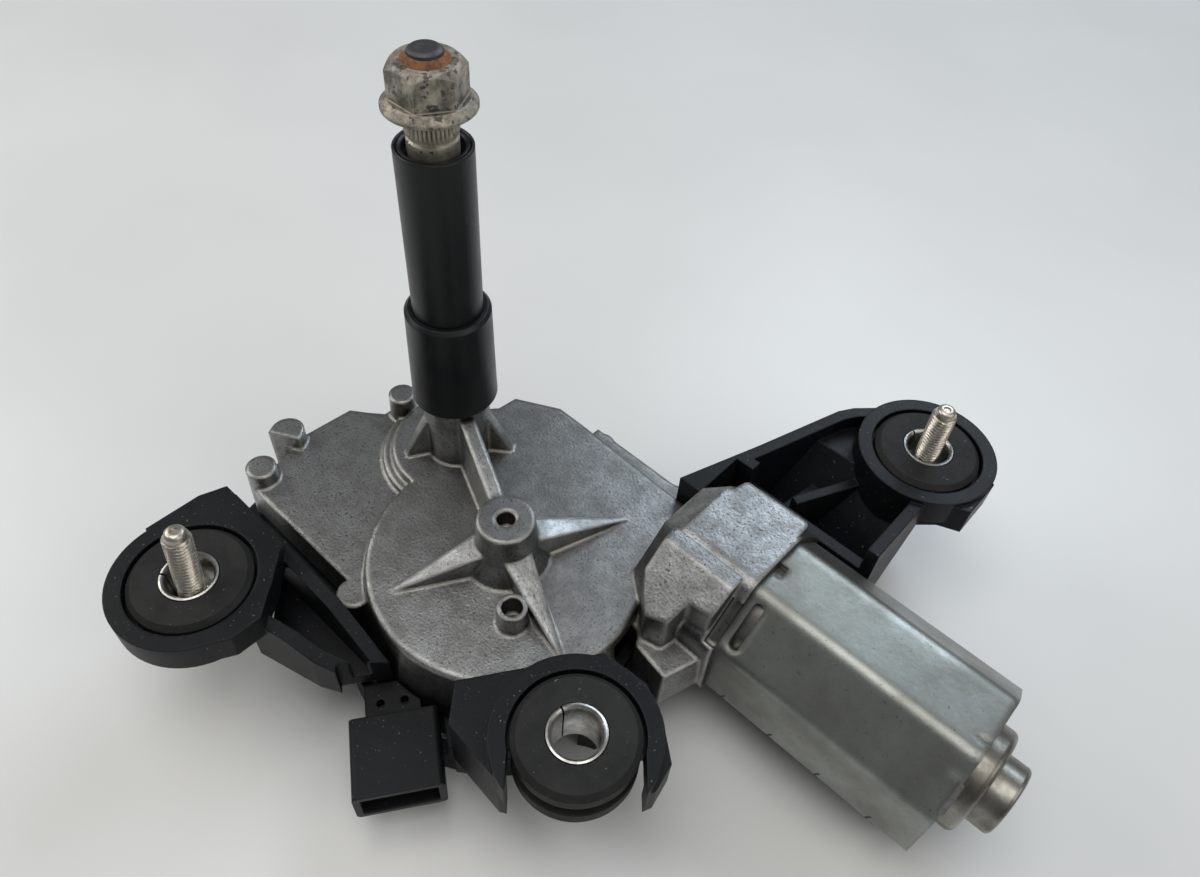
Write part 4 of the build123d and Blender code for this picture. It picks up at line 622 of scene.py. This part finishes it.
turned(spindle, [
    (0, spindle_foot), (neck_radius, spindle_foot), (spindle_radius, spindle_foot + spindle_chamfer),
    (spindle_radius, knurl_foot - neck_start), (neck_radius, knurl_foot - neck_end),
    (knurl_root, knurl_foot), (knurl_root, knurl_top), (thread_root, knurl_top + thread_step),
    *((radius, spindle_end - depth) for radius, depth in end_profile),
], steps=spindle_steps)
finished("spindle_shaft", spindle, old_steel, "spindle", "bright_steel", "wiper_spindle")

# Nut: a flanged M8 nut of zinc-plated steel that holds the wiper arm down on its knurl. It is spotted
# with white corrosion and dirt.
# Its edges are painted lighter, as rubbing wear and a painted highlight, and its hollows are darkened with
# painted shade and dirt.
dirty_zinc = surface_with_wear_and_painted_light(
    "dirty_zinc", colour=(0.42, 0.375, 0.3), stain=(0.13, 0.12, 0.1), stain_scale=380, stain_level=0.49,
    roughness=0.5, metallic=0.45, grain_scale=1500, grain_height=0.00025, corner=0.0006,
    edge=(0.6, 0.56, 0.47), edge_share=0.6, fleck=(0.08, 0.077, 0.074), fleck_scale=620, fleck_level=0.585,
    crevice_shade_and_dirt=((0.05, 0.045, 0.04), 0.003))
dress(dirty_zinc, "spindle_nut")

# Rust bloom: the bare thread in the mouth of the nut has rusted into a rough orange ring, which
# sticks to the spindle and turns with it. The end inside it stays dark.
rusty = surface_with_wear_and_painted_light(
    "rusty", colour=(0.3, 0.13, 0.04), stain=(0.12, 0.055, 0.03), stain_scale=700, stain_level=0.48,
    roughness=0.8, metallic=0.1, grain_scale=1800, grain_height=0.0003)
rust_inside = 0.00325
rust_profile = ((rust_inside, -0.0004), (0.0045, -0.0004), (0.00455, 0.00005), (0.0043, 0.0003),
                (0.0037, 0.0009), (0.00335, 0.0011), (rust_inside, 0.0009), (rust_inside, -0.0004))
nut_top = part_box("spindle_nut")[1][2]
rust = bmesh.new()
turned(rust, [(radius, nut_top + height) for radius, height in rust_profile])
finished("rust_ring", rust, rusty, "spindle", "bright_steel")

# Flux ring: galvanised sheet rolled into eight flats round the motor and clinched along one edge.
# The zinc has weathered to a cloudy green-grey, and it turns darker and browner towards the bottom.
# The edges between the flats are painted lighter as a highlight.
galvanised = surface_with_wear_and_painted_light(
    "galvanised", colour=(0.3, 0.315, 0.295), stain=(0.205, 0.21, 0.19), stain_scale=60, stain_level=0.49,
    roughness=0.34, metallic=0.9, grain_scale=900, grain_height=0.00005, corner=0.0024,
    edge=(0.42, 0.44, 0.42), edge_share=0.35, fleck=(0.15, 0.145, 0.13), fleck_scale=1300, fleck_level=0.68,
    zone=((0.14, 0.13, 0.105), 0.018, 0.004))
dress(galvanised, "flux_ring")

# Ring seam: the sheet's two ends meet low on the near side, where four dovetails are clinched
# together. The gaps beside them are thin dark slivers of painted shadow. A lug at the rear edge is
# bent over the can.
gap_shadow = surface_with_wear_and_painted_light(
    "gap_shadow", colour=(0.02, 0.019, 0.018), stain=(0.035, 0.033, 0.03), stain_scale=900, stain_level=0.5,
    roughness=0.7, metallic=0.0, grain_scale=1800, grain_height=0.00004)
ring_axis = (0.0188, 0.023)
ring_apothem = 0.0198
seam_height = 0.0163
dovetail_places = (0.089, 0.102, 0.1145, 0.1275)
gap_size = (0.0004, 0.00006, 0.0021)
gap_lean = 24
gaps = bmesh.new()
for along in dovetail_places:
    gap_place = Matrix.Translation((along, ring_axis[0] - ring_apothem, seam_height))
    gap_turn = Matrix.Rotation(radians(gap_lean), 4, "Y")
    bmesh.ops.create_cube(gaps, size=1, matrix=gap_place @ gap_turn @ Matrix.Diagonal((*gap_size, 1)))
finished("ring_gaps", gaps, gap_shadow, "gearbox", "zinc_steel")
facet_angle = 45
lug_size = (0.0012, 0.0075, 0.0007)
lug_along = 0.1369
lug_across = -0.0016
lug_rise = 0.0001
lug_edge = 0.0002
lug = bmesh.new()
bmesh.ops.create_cube(lug, size=1, matrix=Matrix.Diagonal((*lug_size, 1)))
bmesh.ops.bevel(lug, geom=lug.edges[:], offset=lug_edge, segments=2, affect="EDGES")
facet_turn = Matrix.Translation((0, *ring_axis)) @ Matrix.Rotation(radians(facet_angle), 4, "X")
lug_place = facet_turn @ Matrix.Translation((lug_along, lug_across, ring_apothem + lug_rise))
bmesh.ops.transform(lug, matrix=lug_place, verts=lug.verts)
finished("ring_lug", lug, bright_zinc, "gearbox", "zinc_steel")

# Motor can: deep-drawn steel, plated and bright, pushed into the flux ring. Its closed end steps down
# to a nose round the rear bearing.
drawn_steel = surface_with_wear_and_painted_light(
    "drawn_steel", colour=(0.32, 0.31, 0.28), stain=(0.16, 0.15, 0.13), stain_scale=130, stain_level=0.48,
    roughness=0.34, metallic=1.0, grain_scale=1200, grain_height=0.00003, corner=0.0003)
dress(drawn_steel, "motor_can")

# Armature shaft, wheel axle and pins: turned and ground steel. The shaft carries the worm on its
# front end, the axle holds the worm wheel, and the pins join the linkage.
ground_steel = surface_with_wear_and_painted_light(
    "ground_steel", colour=(0.6, 0.59, 0.57), stain=(0.48, 0.47, 0.45), stain_scale=120, stain_level=0.45,
    roughness=0.22, metallic=1.0, grain_scale=2600, grain_height=0.00003)
dress(ground_steel, "armature_shaft", "wheel_axle", "crank_pin", "rocker_pin")

# Armature core and linkage: the core, the rockers, the toothed rod, the pinion and the spindle's clip
# are steel, stamped or cut, and dark from the phosphate bath.
phosphated = surface_with_wear_and_painted_light(
    "phosphated", colour=(0.12, 0.115, 0.11), stain=(0.07, 0.065, 0.06), stain_scale=180, stain_level=0.5,
    roughness=0.45, metallic=1.0, grain_scale=1800, grain_height=0.00006)
dress(phosphated, "armature_core", "rocker_lower", "rocker_upper", "sector_rod", "spindle_pinion",
      "spindle_clip")

# Windings and commutator: enamelled copper wire wound round the core's teeth, and hard-drawn copper
# bars round the shaft that the brushes rub on.
copper = surface_with_wear_and_painted_light(
    "copper", colour=(0.6, 0.26, 0.11), stain=(0.36, 0.14, 0.06), stain_scale=240, stain_level=0.5,
    roughness=0.3, metallic=1.0, grain_scale=2600, grain_height=0.00012)
dress(copper, "armature_windings", "commutator")

# Bearings: sintered bronze, dark with oil. Two bushes in the tower guide the spindle, and two
# bearings carry the armature shaft.
bronze = surface_with_wear_and_painted_light(
    "bronze", colour=(0.42, 0.27, 0.12), stain=(0.26, 0.16, 0.07), stain_scale=260, stain_level=0.5,
    roughness=0.42, metallic=1.0, grain_scale=2400, grain_height=0.00008)
dress(bronze, "tower_lower_bush", "tower_upper_bush", "rear_bearing", "front_bearing")

# Worm wheel and thrust plug: natural acetal, moulded, ivory and slightly waxy. The wheel turns on its
# axle, and the plug takes the push of the armature shaft.
acetal = surface_with_wear_and_painted_light(
    "acetal", colour=(0.76, 0.73, 0.63), stain=(0.66, 0.62, 0.5), stain_scale=90, stain_level=0.45,
    roughness=0.36, metallic=0.0, grain_scale=1200, grain_height=0.00003)
dress(acetal, "worm_wheel", "thrust_plug")

# Magnets and brushes: sintered ferrite shells inside the can, and pressed carbon blocks against the
# commutator. Both are charcoal and matt.
ferrite = surface_with_wear_and_painted_light(
    "ferrite", colour=(0.05, 0.05, 0.052), stain=(0.03, 0.03, 0.03), stain_scale=260, stain_level=0.5,
    roughness=0.62, metallic=0.0, grain_scale=2600, grain_height=0.0001)
dress(ferrite, "magnets", "brushes")

# Brush card: a plate of brown phenolic laminate round the commutator, with two guides that hold the
# brushes.
laminate = surface_with_wear_and_painted_light(
    "laminate", colour=(0.2, 0.1, 0.045), stain=(0.13, 0.06, 0.03), stain_scale=200, stain_level=0.5,
    roughness=0.5, metallic=0.0, grain_scale=1500, grain_height=0.00006)
dress(laminate, "brush_holder")

# Springs and park disc: stamped brass, tinned. The brush springs press the brushes on, and the
# contact springs feel where the park disc stands, which turns with the worm wheel.
dress(tinned_brass, "brush_springs", "contact_springs", "park_disc")
